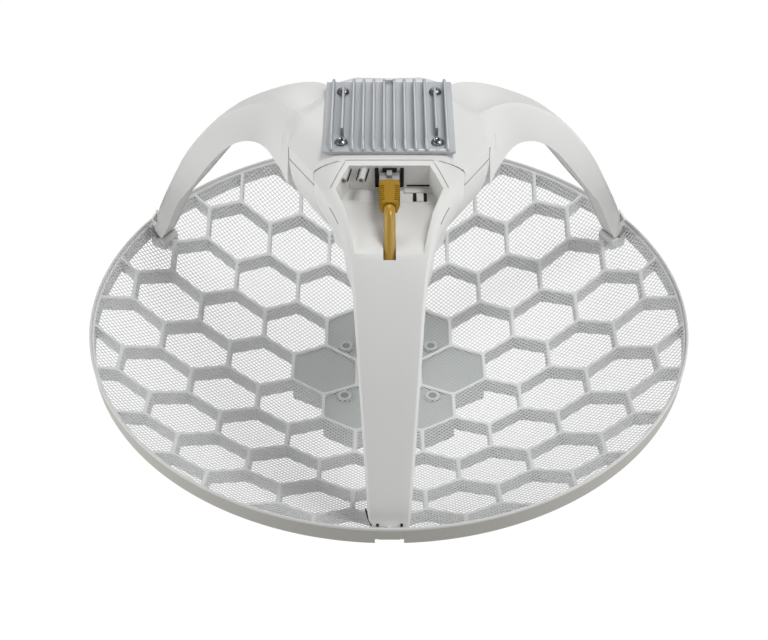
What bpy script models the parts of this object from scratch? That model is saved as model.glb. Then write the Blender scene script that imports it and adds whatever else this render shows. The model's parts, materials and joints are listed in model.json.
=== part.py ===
"""Small wireless grid dish antenna, lying on the flat back of its hub with the boresight along +Z."""
import math

import bmesh
import bpy
from mathutils import Matrix, Vector

MM = 0.001
GAP = 0.3 * MM

# The reflector: a paraboloid measured from its vertex, which lies above the hub's flat back
VERTEX_Z = 12.0 * MM
BOWL = 1.51
RIM_OUTER = 195.5 * MM
RIM_WALL = 3.2 * MM
RIM_TOP = 58.9 * MM
RIM_HEIGHT = 11.6 * MM
GRILLE_OUTER = RIM_OUTER - RIM_WALL - GAP
SHEET = 0.8 * MM
RIB_TOP = -1.4 * MM
RIB_DEPTH = 9.4 * MM
RIB_WIDTH = 2.5 * MM
RIM_FLANGE = 1.5 * MM
RIM_EDGE = 0.6 * MM
RIM_NOTCH = (18.0 * MM, 20.0 * MM, 5.0 * MM)
CELL = 43.35 * MM
CELL_ROWS = 5
SECTORS = 6
ROUND_STEPS = 96
SHEET_INNER = 48.0 * MM
SHEET_RINGS = 9
SHEET_STEPS = 66

# A plain grid of lozenge openings stands for the fine mesh, in rows along both straight edges of each sector
OPENING_PITCH = CELL / 2
OPENING_SIDE = 15.6 * MM
OPENING_ROWS = 9
OPENING_RADII = (67.5 * MM, 188.0 * MM)
OPENING_MARGIN = 2.5 * MM

# How far the cutters reach past the solids that they cut
CUT_LOW = -60.0 * MM
CUT_HIGH = 120.0 * MM
CUT_ABOVE = 260.0 * MM
CUT_HALF = 60.0 * MM

# The hub behind the seven middle cells
HUB_PLATE = 2.0 * MM
HUB_PLATE_FIT = 0.985
HUB_BACK = 2.6 * MM
SCREW_X = 29.5 * MM
SCREW_Y = 25.3 * MM
BOSS_OUTER = 4.6 * MM
BOSS_INNER = 2.2 * MM
BOSS_HEIGHT = 1.6 * MM
BOSS_LIFT = 1.2 * MM

# The three arms: side view as radius and height above the vertex, plan view as radius and half width
ARM_ANGLES = {"front": 270, "right": 30, "left": 150}
ARM_OUTER = ((190.0, 52.3), (177.2, 81.0), (164.3, 107.0), (149.6, 134.6), (132.6, 158.2), (117.0, 174.8),
             (105.0, 184.0), (95.0, 190.0), (85.0, 195.0), (72.0, 199.4), (57.4, 202.4))
ARM_INNER = ((57.4, 157.0), (71.0, 161.8), (77.0, 165.8), (84.0, 167.9), (92.0, 167.0), (101.3, 162.2),
             (113.6, 152.4), (127.2, 137.0), (141.2, 117.6), (153.2, 98.6), (164.0, 80.2), (175.0, 59.4),
             (180.5, 52.3))
ARM_PLAN_SIDE = ((57.4, 29.0), (65.0, 22.5), (75.0, 17.6), (85.0, 15.2), (105.0, 14.4), (175.0, 13.8),
                 (192.0, 11.0))
ARM_PLAN_FRONT = ((57.4, 34.0), (66.0, 33.0), (105.0, 23.0), (112.0, 21.1), (126.0, 19.7), (147.0, 17.6),
                  (165.0, 15.8), (192.0, 13.8))
ARM_WALL = 2.4
HOLLOW_REACH = 8.0
HOLLOW_LOW = 30.0
SOCKET_RADII = (177.5 * MM, 190.2 * MM)
SOCKET_HALF_WIDTH = 14.0 * MM
SOCKET_LOW = 41.0 * MM
SOCKET_TOP = 52.0 * MM
SOCKET_EDGE = 0.6 * MM
SOCKET_WINDOW = 20.0 * MM
CABLE_SLOT_RADII = (179.2 * MM, 188.3 * MM)
CABLE_SLOT_HALF_WIDTH = 3.9 * MM

# The head: twelve-sided sections, from the arms' roots and the three valley walls between them
VALLEY = 59.7 * MM
VALLEY_HALF = 16.0 * MM
ROOT = 57.1 * MM
ROOT_HALF = 33.0 * MM
HEAD_LOW = 148.0 * MM
NECK_VALLEY = 47.0 * MM
NECK_HALF = 14.0 * MM
NECK_ROOT = 44.0 * MM
NECK_ROOT_HALF = 27.0 * MM
SEAM_Z = 186.5 * MM
SHOULDER_Z = 194.5 * MM
HEAD_TOP = 203.6 * MM
TOP_INSET = 8.5 * MM
ROOT_INSET = 6.0 * MM
ROOT_TAPER = 3.0 * MM

# The port bay: radius and half width of its opening along the front arm, and its sloping floor
BAY_PLAN = ((48.6, 23.0), (67.0, 30.1), (75.0, 26.9), (82.3, 24.1), (94.3, 21.1), (105.0, 19.0))
BAY_FLOOR_TOP = 187.0 * MM
BAY_FLOOR_END = 168.0 * MM
BAY_FLOOR = 2.0 * MM

# The heat sink on the head and its four screws
SINK_HALF_X = 38.2 * MM
SINK_HALF_Y = 38.4 * MM
SINK_BASE = 3.4 * MM
FINS = 12
FIN_PITCH = 6.13 * MM
FIN_HEIGHT = 5.0 * MM
FIN_FOOT = 1.0 * MM
FIN_WIDTH = 1.5 * MM
FIN_INSET = 0.8 * MM
SHORT_FIN_HALF = 22.0 * MM
SHORT_FIN_STEP = 4.5
SINK_SCREWS = ((-28.0, -27.0), (28.0, -27.0), (-28.0, 30.0), (28.0, 30.0))
SINK_SCREW_RADIUS = 3.85 * MM
SINK_SCREW_HEIGHT = 2.6 * MM

# The network jack, plug and cable, along the front arm from the bay's upper end
JACK_HALF_WIDTH = 8.3 * MM
JACK_BACK = -35.0 * MM
JACK_FRONT = -48.5 * MM
JACK_LIP = 1.0 * MM
JACK_LOW = 189.0 * MM
JACK_HIGH = 202.0 * MM
PLUG_HALF_WIDTH = 5.85 * MM
PLUG_LOW = 192.8 * MM
PLUG_HIGH = 199.4 * MM
PLUG_BACK = -38.0 * MM
PLUG_FRONT = -57.6 * MM
BOOT_TAPER = -72.0 * MM
BOOT_END = -80.0 * MM
BOOT_HALF_HEIGHT = 4.1 * MM
BOOT_END_HALF = 4.4 * MM
BOOT_EDGE = 0.8 * MM
CABLE_RADIUS = 3.25 * MM
CABLE_ROUTE = ((0.0, -80.6, 196.1), (0.0, -85.4, 195.8), (0.0, -91.2, 191.4), (0.0, -97.2, 185.0),
               (0.0, -101.8, 179.4), (0.0, -105.2, 174.9), (0.0, -110.0, 168.9), (0.0, -118.0, 160.4),
               (0.0, -128.0, 150.0), (0.0, -142.2, 130.3), (0.0, -156.7, 103.1), (0.0, -169.3, 77.6),
               (0.0, -177.6, 62.0), (0.0, -182.6, 53.0), (0.0, -184.4, 47.0), (0.0, -184.6, 41.6))
CABLE_POINTS = 48

# Small pieces in the bay beside the jack: two light pegs out of its end wall, and a low slotted block
PEG_CENTRES = (-22.2 * MM, -15.0 * MM)
PEG_RADIUS = 1.8 * MM
PEG_LENGTH = 10.6 * MM
PEG_MIDDLE = -54.2 * MM
PEG_Z = 200.4 * MM
PEG_TURN = 14.0
SLOT_BLOCK_LOW = (8.8 * MM, -55.8 * MM, 187.3 * MM)
SLOT_BLOCK_HIGH = (22.6 * MM, -48.9 * MM, 190.5 * MM)
SLOT_CENTRES = (14.4 * MM, 19.8 * MM)
SLOT_WIDTH = 2.0 * MM
SLOT_DEPTH = 2.4 * MM

# The cap over the feed, under the head
FEED_CAP_HEIGHT = 7.0 * MM
FEED_CAP_INSET = 3.5 * MM
FEED_CAP_HALF = (24.0 * MM, 20.0 * MM)

COLOURS = {
    "white_plastic": ((0.66, 0.66, 0.64), 0.45, 0.0),
    "grille_plastic": ((0.56, 0.57, 0.57), 0.5, 0.0),
    "grey_plastic": ((0.36, 0.39, 0.39), 0.5, 0.0),
    "grey_alloy": ((0.46, 0.48, 0.50), 0.4, 0.8),
    "steel_screw": ((0.30, 0.31, 0.32), 0.3, 1.0),
    "clear_plastic": ((0.75, 0.78, 0.78), 0.1, 0.0),
    "ochre_plastic": ((0.42, 0.24, 0.03), 0.4, 0.0),
    "black_plastic": ((0.01, 0.01, 0.01), 0.4, 0.0),
}


def clear_scene():
    for obj in list(bpy.data.objects):
        bpy.data.objects.remove(obj, do_unlink=True)


def new_collection(name):
    collection = bpy.data.collections.new(name)
    bpy.context.scene.collection.children.link(collection)
    return collection


def material(name):
    colour, roughness, metallic = COLOURS[name]
    made = bpy.data.materials.get(name) or bpy.data.materials.new(name)
    made.use_nodes = True
    shader = made.node_tree.nodes["Principled BSDF"]
    shader.inputs["Base Color"].default_value = (*colour, 1.0)
    shader.inputs["Roughness"].default_value = roughness
    shader.inputs["Metallic"].default_value = metallic
    return made


def place(name, mesh, look, matrix=None):
    """A part if it has a look, otherwise a cutter."""
    obj = bpy.data.objects.new(name, mesh)
    if look:
        mesh.materials.append(material(look))
        PARTS.objects.link(obj)
    else:
        CUTTERS.objects.link(obj)
        obj.hide_render = True
        obj.display_type = "WIRE"
    obj.matrix_world = matrix or Matrix.Identity(4)
    return obj


def finish_mesh(name, bm, open_sheet=False):
    bmesh.ops.remove_doubles(bm, verts=bm.verts, dist=0.00001)
    bmesh.ops.recalc_face_normals(bm, faces=bm.faces)
    bm.faces.ensure_lookup_table()
    if open_sheet and bm.faces[0].normal.z < 0:
        bmesh.ops.reverse_faces(bm, faces=bm.faces)
    mesh = bpy.data.meshes.new(name)
    bm.to_mesh(mesh)
    bm.free()
    return mesh


def smooth(mesh, angle=30):
    mesh.shade_smooth()
    mesh.set_sharp_from_angle(angle=math.radians(angle))


def boolean(obj, other, operation):
    modifier = obj.modifiers.new(f"{operation.lower()}_{other.name}", "BOOLEAN")
    modifier.object = other
    modifier.operation = operation


def bevel(obj, width, segments=2):
    modifier = obj.modifiers.new("edge", "BEVEL")
    modifier.width = width
    modifier.segments = segments
    modifier.limit_method = "ANGLE"


def outline_mesh(name, loops, low, high):
    """A flat outline with its holes, extruded from low to high along Z."""
    curve = bpy.data.curves.new(name, "CURVE")
    curve.dimensions = "2D"
    curve.fill_mode = "BOTH"
    curve.extrude = (high - low) / 2
    for loop in loops:
        spline = curve.splines.new("POLY")
        spline.points.add(len(loop) - 1)
        spline.use_cyclic_u = True
        for point, (x, y) in zip(spline.points, loop):
            point.co = (x, y, 0, 1)
    guide = bpy.data.objects.new(name + "_outline", curve)
    CUTTERS.objects.link(guide)
    bpy.context.view_layer.update()
    flat = bpy.data.meshes.new_from_object(guide.evaluated_get(bpy.context.evaluated_depsgraph_get()))
    bm = bmesh.new()
    bm.from_mesh(flat)
    bmesh.ops.translate(bm, verts=bm.verts, vec=(0, 0, (low + high) / 2))
    bpy.data.objects.remove(guide)
    bpy.data.curves.remove(curve)
    bpy.data.meshes.remove(flat)
    return finish_mesh(name, bm)


def box(name, size, centre, look=None, turn=None, edge=0.0):
    bm = bmesh.new()
    bmesh.ops.create_cube(bm, size=1.0)
    bmesh.ops.scale(bm, verts=bm.verts, vec=size)
    mesh = finish_mesh(name, bm)
    obj = place(name, mesh, look, (turn or Matrix.Identity(4)) @ Matrix.Translation(centre))
    if edge:
        bevel(obj, edge)
    return obj


def turned(name, profile, look=None, centre=(0, 0, 0), steps=ROUND_STEPS):
    """A closed section of (radius, height) points, turned about Z; its outer side runs downward."""
    bm = bmesh.new()
    points = [bm.verts.new((radius, 0, height)) for radius, height in profile]
    closed = points + [points[0]] if min(radius for radius, height in profile) > 0 else points
    for first, second in zip(closed, closed[1:]):
        bm.edges.new((first, second))
    mesh = bpy.data.meshes.new(name)
    bm.to_mesh(mesh)
    bm.free()
    obj = place(name, mesh, look, Matrix.Translation(centre))
    screw = obj.modifiers.new("turn", "SCREW")
    screw.steps = steps
    screw.render_steps = steps
    screw.use_merge_vertices = True
    screw.merge_threshold = 0.00001
    screw.use_smooth_shade = True
    return obj


def bowl_height(x, y):
    """Height of the reflector's front surface above its vertex."""
    return BOWL * (x * x + y * y)


def circle(radius, steps=ROUND_STEPS):
    return [(radius * math.cos(2 * math.pi * step / steps), radius * math.sin(2 * math.pi * step / steps))
            for step in range(steps)]


def hexagon(x, y, width):
    """Corners of a cell whose flat sides are width apart, with a corner towards +Y."""
    reach = width / math.sqrt(3)
    turns = [math.radians(30 + 60 * side) for side in range(6)]
    return [(x + reach * math.cos(turn), y + reach * math.sin(turn)) for turn in turns]


def clip_to_circle(loop, radius):
    """The part of a convex outline inside a circle, with the arc as short straight steps."""
    for start, end in zip(circle(radius), circle(radius)[1:] + circle(radius)[:1]):
        edge = Vector(end) - Vector(start)
        kept = []
        for here, after in zip(loop, loop[1:] + loop[:1]):
            side_here = edge.cross(Vector(here) - Vector(start))
            side_after = edge.cross(Vector(after) - Vector(start))
            if side_here >= 0:
                kept.append(here)
            if side_here * side_after < 0:
                share = side_here / (side_here - side_after)
                kept.append(tuple(Vector(here).lerp(Vector(after), share)))
        loop = kept
        if len(loop) < 3:
            return []
    return loop


def cell_centres():
    """Centres of the honeycomb cells that the rim encloses wholly or in part."""
    row_step = CELL * math.sqrt(3) / 2
    centres = []
    for row in range(-CELL_ROWS, CELL_ROWS + 1):
        shift = CELL / 2 if row % 2 else 0.0
        for column in range(-CELL_ROWS - 1, CELL_ROWS + 2):
            x = column * CELL + shift
            y = row * row_step
            if math.hypot(x, y) < RIM_OUTER + CELL / 2:
                centres.append((x, y))
    return centres


def is_hub_cell(centre):
    return math.hypot(*centre) < CELL * 1.1


def hub_outline(grow=0.0):
    """Outer outline of the seven middle cells, moved outward by grow."""
    reach = CELL / math.sqrt(3)
    points = []
    for side in range(6):
        angle = 60 * side
        centre = Vector((CELL * math.cos(math.radians(angle)), CELL * math.sin(math.radians(angle))))
        for corner in (-30, 30):
            turn = math.radians(angle + corner)
            points.append(centre + reach * Vector((math.cos(turn), math.sin(turn))))
        notch = math.radians(angle + 30)
        points.append(2 * reach * Vector((math.cos(notch), math.sin(notch))))
    moved = []
    count = len(points)
    for index, point in enumerate(points):
        before = (point - points[index - 1]).normalized()
        after = (points[(index + 1) % count] - point).normalized()
        normal = Vector((before.y + after.y, -before.x - after.x))
        moved.append(tuple(point + normal * grow / (1 + before.dot(after))))
    return moved


def wedge(name, index):
    """Cutter for one of the six equal sectors, with half a gap on each side."""
    start = math.radians(360 / SECTORS * index)
    end = math.radians(360 / SECTORS * (index + 1))
    middle = (start + end) / 2
    tip = GAP / 2 / math.sin(math.pi / SECTORS)
    reach = RIM_OUTER * 1.5
    apex = Vector((math.cos(middle), math.sin(middle))) * tip
    loop = [apex, apex + reach * Vector((math.cos(start), math.sin(start))),
            apex + reach * Vector((math.cos(middle), math.sin(middle))),
            apex + reach * Vector((math.cos(end), math.sin(end)))]
    mesh = outline_mesh(name, [[tuple(point) for point in loop]], CUT_LOW, CUT_HIGH)
    return place(name, mesh, None, Matrix.Translation((0, 0, VERTEX_Z)))


def opening_is_clear(corners):
    """Whether an opening in the mesh stays clear of the hub, the rim and the seats of the arms."""
    near, far = OPENING_RADII
    for corner in corners:
        if not near < corner.length < far:
            return False
        for angle in ARM_ANGLES.values():
            outward = Vector((math.cos(math.radians(angle)), math.sin(math.radians(angle))))
            beside = abs(corner.cross(outward)) < SOCKET_HALF_WIDTH + OPENING_MARGIN
            if beside and corner.dot(outward) > SOCKET_RADII[0] - OPENING_MARGIN:
                return False
    return True


def mesh_openings(name, index):
    """Cutter for the plain grid of openings in one sector of the mesh."""
    turns = [math.radians(360 / SECTORS * edge) for edge in (index, index + 1)]
    first, second = [Vector((math.cos(turn), math.sin(turn))) for turn in turns]
    long = (first + second) * OPENING_SIDE / 2
    short = (first - second) * OPENING_SIDE / 2
    loops = []
    for row in range(OPENING_ROWS):
        for column in range(OPENING_ROWS):
            centre = (first * (row + 0.5) + second * (column + 0.5)) * OPENING_PITCH
            corners = [centre - long, centre + short, centre + long, centre - short]
            if opening_is_clear(corners):
                loops.append([tuple(corner) for corner in corners])
    mesh = outline_mesh(name, loops, CUT_LOW, CUT_HIGH)
    return place(name, mesh, None, Matrix.Translation((0, 0, VERTEX_Z)))


def arm_turn(side):
    """Turns local +X to an arm's outward direction."""
    return Matrix.Rotation(math.radians(ARM_ANGLES[side]), 4, "Z")


def socket_box(name, side, look=None, grow=0.0, edge=0.0):
    near, far = SOCKET_RADII
    size = (far - near + 2 * grow, 2 * SOCKET_HALF_WIDTH + 2 * grow, SOCKET_TOP - SOCKET_LOW + 2 * grow)
    if not look:
        size = (size[0], size[1], size[2] + SOCKET_WINDOW)
    centre = ((near + far) / 2, 0, VERTEX_Z + (SOCKET_LOW + SOCKET_TOP) / 2)
    return box(name, size, centre, look, arm_turn(side), edge)


def build_reflector():
    seat = Matrix.Translation((0, 0, VERTEX_Z))
    wall_inner = RIM_OUTER - RIM_WALL
    rim_low = RIM_TOP - RIM_HEIGHT
    wall = [(RIM_OUTER, RIM_TOP - RIM_EDGE), (RIM_OUTER, rim_low), (wall_inner, rim_low)]
    wall += [(wall_inner, RIM_TOP), (RIM_OUTER - RIM_EDGE, RIM_TOP)]
    rim = turned("rim_ring", wall, "white_plastic", (0, 0, VERTEX_Z))
    boolean(rim, box("rim_notch", RIM_NOTCH, (0, -RIM_OUTER, VERTEX_Z + rim_low)), "DIFFERENCE")

    holes = []
    for centre in cell_centres():
        hole = clip_to_circle(hexagon(*centre, CELL - RIB_WIDTH), GRILLE_OUTER - RIM_FLANGE)
        if hole and not is_hub_cell(centre):
            holes.append(hole)
    lattice = outline_mesh("grille_ribs", [circle(GRILLE_OUTER), hub_outline(GAP)] + holes,
                           RIB_TOP - RIB_DEPTH, RIB_TOP)
    for vertex in lattice.vertices:
        vertex.co.z += bowl_height(vertex.co.x, vertex.co.y)

    sheet_step = (GRILLE_OUTER - SHEET_INNER) / SHEET_RINGS
    sheet_radii = [SHEET_INNER + sheet_step * ring for ring in range(SHEET_RINGS + 1)]
    front = [(radius, bowl_height(radius, 0)) for radius in sheet_radii]
    section = front + [(radius, height - SHEET) for radius, height in reversed(front)]

    clearance = outline_mesh("hub_clearance", [hub_outline(GAP)], CUT_LOW, CUT_HIGH)
    hub_cutter = place("hub_clearance", clearance, None, seat)
    windows = [socket_box(f"socket_window_{side}", side, grow=GAP) for side in ARM_ANGLES]
    for index in range(SECTORS):
        sector = wedge(f"sector_{index + 1}", index)
        ribs = place(f"grille_ribs_{index + 1}", lattice.copy(), "grille_plastic", seat)
        sheet = turned(f"mesh_panel_{index + 1}", section, "grille_plastic", (0, 0, VERTEX_Z), SHEET_STEPS)
        boolean(sheet, hub_cutter, "DIFFERENCE")
        for piece in (ribs, sheet):
            boolean(piece, sector, "INTERSECT")
            for window in windows:
                boolean(piece, window, "DIFFERENCE")
        boolean(sheet, mesh_openings(f"mesh_openings_{index + 1}", index), "DIFFERENCE")
    bpy.data.meshes.remove(lattice)


def build_hub():
    seat = Matrix.Translation((0, 0, VERTEX_Z))
    bm = bmesh.new()
    for centre in cell_centres():
        if not is_hub_cell(centre):
            continue
        middle = bm.verts.new((*centre, 0))
        ring = [bm.verts.new((x, y, 0)) for x, y in hexagon(*centre, CELL)]
        for first, second in zip(ring, ring[1:] + ring[:1]):
            bm.faces.new((middle, first, second))
    bmesh.ops.remove_doubles(bm, verts=bm.verts, dist=0.00001)
    bmesh.ops.scale(bm, verts=bm.verts, vec=(HUB_PLATE_FIT, HUB_PLATE_FIT, 1.0))
    for vertex in bm.verts:
        vertex.co.z = bowl_height(vertex.co.x, vertex.co.y)
    plate = place("centre_plate", finish_mesh("centre_plate", bm, open_sheet=True), "grey_plastic", seat)
    shell = plate.modifiers.new("thickness", "SOLIDIFY")
    shell.thickness = HUB_PLATE
    shell.offset = -1.0

    frame_top = -HUB_PLATE - GAP
    frame_low = -VERTEX_Z + HUB_BACK + GAP
    cells = [hexagon(*centre, CELL - RIB_WIDTH) for centre in cell_centres() if is_hub_cell(centre)]
    frame = outline_mesh("hub_frame", [hub_outline()] + cells, frame_low, frame_top)
    for vertex in frame.vertices:
        if vertex.co.z > frame_low + GAP:
            vertex.co.z += bowl_height(vertex.co.x, vertex.co.y) - GAP
    place("hub_frame", frame, "grille_plastic", seat)
    place("hub_back", outline_mesh("hub_back", [hub_outline()], 0, HUB_BACK), "grille_plastic")

    screws = [(side * SCREW_X, end * SCREW_Y) for end in (1, -1) for side in (-1, 1)]
    for index, (x, y) in enumerate(screws):
        base = bowl_height(x, y) + BOSS_LIFT
        top = base + BOSS_HEIGHT
        ring = [(BOSS_OUTER, top), (BOSS_OUTER, base), (BOSS_INNER, base), (BOSS_INNER, top)]
        turned(f"hub_boss_{index + 1}", ring, "grey_plastic", (x, y, VERTEX_Z), 24)


def to_mm(points):
    return [(x * MM, y * MM) for x, y in points]


def side_solid(name, outline, half_width, side, look=None):
    """A side view of (radius, height) points, extruded across an arm."""
    mesh = outline_mesh(name, [to_mm(outline)], -half_width, half_width)
    stand = Matrix.Translation((0, 0, VERTEX_Z)) @ arm_turn(side) @ Matrix.Rotation(math.radians(90), 4, "X")
    return place(name, mesh, look, stand)


def plan_solid(name, plan, side, inset=0.0):
    """A plan view of (radius, half width) points, mirrored across the arm and extruded upward."""
    right = [(radius, half - inset) for radius, half in plan]
    left = [(radius, inset - half) for radius, half in reversed(plan)]
    mesh = outline_mesh(name, [to_mm(right + left)], CUT_LOW, CUT_ABOVE)
    return place(name, mesh, None, arm_turn(side))


def inset_curve(points, depth):
    """The same open curve, moved towards the inside of the arm."""
    moved = []
    for index, point in enumerate(points):
        before = Vector(points[max(index - 1, 0)])
        after = Vector(points[min(index + 1, len(points) - 1)])
        along = (after - before).normalized()
        moved.append(tuple(Vector(point) + depth * Vector((-along.y, along.x)) * -1))
    return moved


def build_arm(side):
    plan = ARM_PLAN_FRONT if side == "front" else ARM_PLAN_SIDE
    arm = side_solid(f"{side}_arm", list(ARM_OUTER) + list(ARM_INNER), CUT_HALF, side, "white_plastic")
    boolean(arm, plan_solid(f"{side}_arm_plan", plan, side), "INTERSECT")
    under = inset_curve(ARM_OUTER, -ARM_WALL)
    foot, root = under[0][0], under[-1][0] - HOLLOW_REACH
    hollow_outline = [(foot, HOLLOW_LOW)] + under + [(root, under[-1][1]), (root, HOLLOW_LOW)]
    hollow = side_solid(f"{side}_arm_hollow", hollow_outline, CUT_HALF, side)
    hollow_plan = [(root - HOLLOW_REACH, plan[0][1])] + list(plan)
    boolean(hollow, plan_solid(f"{side}_arm_hollow_plan", hollow_plan, side, ARM_WALL), "INTERSECT")
    boolean(arm, hollow, "DIFFERENCE")
    socket = socket_box(f"{side}_arm_socket", side, "white_plastic", edge=SOCKET_EDGE)
    if side == "front":
        near, far = CABLE_SLOT_RADII
        slot_size = (2 * CABLE_SLOT_HALF_WIDTH, far - near, 2 * SOCKET_LOW)
        slot = box("cable_slot", slot_size, (0, -(near + far) / 2, VERTEX_Z + SOCKET_LOW))
        boolean(socket, slot, "DIFFERENCE")
    return arm


def head_section(valley, valley_half, root, root_half, height):
    """Twelve points around the head: two on each valley wall and two at each arm's root."""
    points = []
    for side in ("right", "left", "front"):
        turn = arm_turn(side)
        points += [turn @ Vector((root, offset, height)) for offset in (-root_half, root_half)]
        valley_turn = turn @ Matrix.Rotation(math.radians(60), 4, "Z")
        points += [valley_turn @ Vector((valley, offset, height)) for offset in (-valley_half, valley_half)]
    return points


def loft(name, sections, look):
    bm = bmesh.new()
    rings = [[bm.verts.new(point) for point in section] for section in sections]
    for lower, upper in zip(rings, rings[1:]):
        for index in range(len(lower)):
            after = (index + 1) % len(lower)
            bm.faces.new((lower[index], lower[after], upper[after], upper[index]))
    bm.faces.new(rings[0][::-1])
    bm.faces.new(rings[-1])
    return place(name, finish_mesh(name, bm), look, Matrix.Translation((0, 0, VERTEX_Z)))


def bay_outline(grow=0.0):
    """Plan of the bay's opening, as points along the front arm and across it, moved outward by grow."""
    right = [(radius * MM, half * MM + grow) for radius, half in BAY_PLAN]
    right[0] = (right[0][0] - grow, right[0][1])
    right[-1] = (right[-1][0] + grow, right[-1][1])
    left = [(radius, -half) for radius, half in reversed(right)]
    return right + left


def bay_side_view(depth, top):
    """Side view of what lies between top and a line depth under the bay's sloping floor."""
    start = BAY_PLAN[0][0] - 1
    end = BAY_PLAN[-1][0] + 1
    low_start = (BAY_FLOOR_TOP - depth) / MM
    low_end = (BAY_FLOOR_END - depth) / MM
    if top is None:
        return [(start, BAY_FLOOR_TOP / MM), (start, low_start), (end, low_end), (end, BAY_FLOOR_END / MM)]
    return [(start, top / MM), (start, low_start), (end, low_end), (end, top / MM)]


def bay_space(name):
    """Cutter for the bay: the plan opening above the sloping underside of its tray."""
    cutter = place(name, outline_mesh(name, [bay_outline(GAP)], 0, CUT_ABOVE), None, arm_turn("front"))
    space = side_solid(name + "_height", bay_side_view(BAY_FLOOR + GAP, CUT_ABOVE), CUT_HALF, "front")
    boolean(cutter, space, "INTERSECT")
    return cutter


def build_head(front_arm):
    neck = head_section(NECK_VALLEY, NECK_HALF, NECK_ROOT, NECK_ROOT_HALF, HEAD_LOW)
    waist = head_section(VALLEY, VALLEY_HALF, ROOT, ROOT_HALF, SEAM_Z)
    shell = loft("head_shell", [neck, waist], "white_plastic")
    seam = head_section(VALLEY, VALLEY_HALF, ROOT, ROOT_HALF, SEAM_Z + GAP)
    shoulder = head_section(VALLEY, VALLEY_HALF, ROOT, ROOT_HALF, SHOULDER_Z)
    top = head_section(VALLEY - TOP_INSET, VALLEY_HALF, ROOT - ROOT_INSET, ROOT_HALF - ROOT_TAPER, HEAD_TOP)
    cover = loft("head_cover", [seam, shoulder, top], "white_plastic")
    space = bay_space("bay_space")
    for piece in (shell, cover, front_arm):
        boolean(piece, space, "DIFFERENCE")
    pocket = box_between("jack_pocket", (-JACK_HALF_WIDTH - GAP, JACK_FRONT, JACK_LOW - GAP),
                         (JACK_HALF_WIDTH + GAP, JACK_BACK + GAP, JACK_HIGH + GAP))
    for piece in (shell, cover):
        boolean(piece, pocket, "DIFFERENCE")
    high = HEAD_LOW - GAP
    low = high - FEED_CAP_HEIGHT
    wide, narrow = FEED_CAP_INSET, 3 * FEED_CAP_INSET
    cap_top = head_section(NECK_VALLEY - wide, NECK_HALF, NECK_ROOT - wide, FEED_CAP_HALF[0], high)
    cap_low = head_section(NECK_VALLEY - narrow, NECK_HALF, NECK_ROOT - narrow, FEED_CAP_HALF[1], low)
    loft("feed_cap", [cap_low, cap_top], "white_plastic")


def build_bay():
    mesh = outline_mesh("port_bay", [bay_outline()], 0, CUT_ABOVE)
    tray = place("port_bay", mesh, "white_plastic", arm_turn("front"))
    floor = side_solid("port_bay_floor", bay_side_view(BAY_FLOOR, None), CUT_HALF, "front")
    boolean(tray, floor, "INTERSECT")


def box_between(name, low, high, look=None, edge=0.0):
    """A box between two corners given above the vertex."""
    size = [upper - lower for lower, upper in zip(low, high)]
    centre = [(upper + lower) / 2 for lower, upper in zip(low, high)]
    centre[2] += VERTEX_Z
    return box(name, size, centre, look, edge=edge)


def build_network_port():
    jack = box_between("network_jack", (-JACK_HALF_WIDTH, JACK_FRONT - JACK_LIP, JACK_LOW),
                       (JACK_HALF_WIDTH, JACK_BACK, JACK_HIGH), "black_plastic")
    mouth = box_between("jack_mouth", (-PLUG_HALF_WIDTH - GAP, JACK_FRONT - 2 * JACK_LIP, PLUG_LOW - GAP),
                        (PLUG_HALF_WIDTH + GAP, PLUG_BACK + GAP, PLUG_HIGH + GAP))
    boolean(jack, mouth, "DIFFERENCE")
    box_between("network_plug", (-PLUG_HALF_WIDTH, PLUG_FRONT, PLUG_LOW),
                (PLUG_HALF_WIDTH, PLUG_BACK, PLUG_HIGH), "clear_plastic")
    middle = (PLUG_LOW + PLUG_HIGH) / 2
    sections = []
    for y, half_x, half_z in ((PLUG_FRONT - GAP, PLUG_HALF_WIDTH, BOOT_HALF_HEIGHT),
                              (BOOT_TAPER, PLUG_HALF_WIDTH, BOOT_HALF_HEIGHT),
                              (BOOT_END, BOOT_END_HALF, BOOT_END_HALF)):
        corners = ((-half_x, -half_z), (half_x, -half_z), (half_x, half_z), (-half_x, half_z))
        sections.append([(x, y, middle + z) for x, z in corners])
    boot = loft("plug_boot", sections, "ochre_plastic")
    bevel(boot, BOOT_EDGE)


def build_bay_details():
    for index, x in enumerate(PEG_CENTRES):
        bm = bmesh.new()
        bmesh.ops.create_cone(bm, cap_ends=True, segments=16, radius1=PEG_RADIUS, radius2=PEG_RADIUS,
                              depth=PEG_LENGTH)
        mesh = finish_mesh(f"light_peg_{index + 1}", bm)
        smooth(mesh)
        seat = Matrix.Translation((x, PEG_MIDDLE, VERTEX_Z + PEG_Z))
        turn = Matrix.Rotation(math.radians(-PEG_TURN), 4, "Z") @ Matrix.Rotation(math.radians(90), 4, "X")
        place(mesh.name, mesh, "white_plastic", seat @ turn)
    block = box_between("slot_block", SLOT_BLOCK_LOW, SLOT_BLOCK_HIGH, "white_plastic")
    front, low = SLOT_BLOCK_LOW[1], SLOT_BLOCK_LOW[2]
    for index, x in enumerate(SLOT_CENTRES):
        slot = box_between(f"slot_{index + 1}", (x - SLOT_WIDTH / 2, front - SLOT_DEPTH, low - SLOT_DEPTH),
                           (x + SLOT_WIDTH / 2, front + SLOT_DEPTH, SLOT_BLOCK_HIGH[2] + SLOT_DEPTH))
        boolean(block, slot, "DIFFERENCE")


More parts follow.
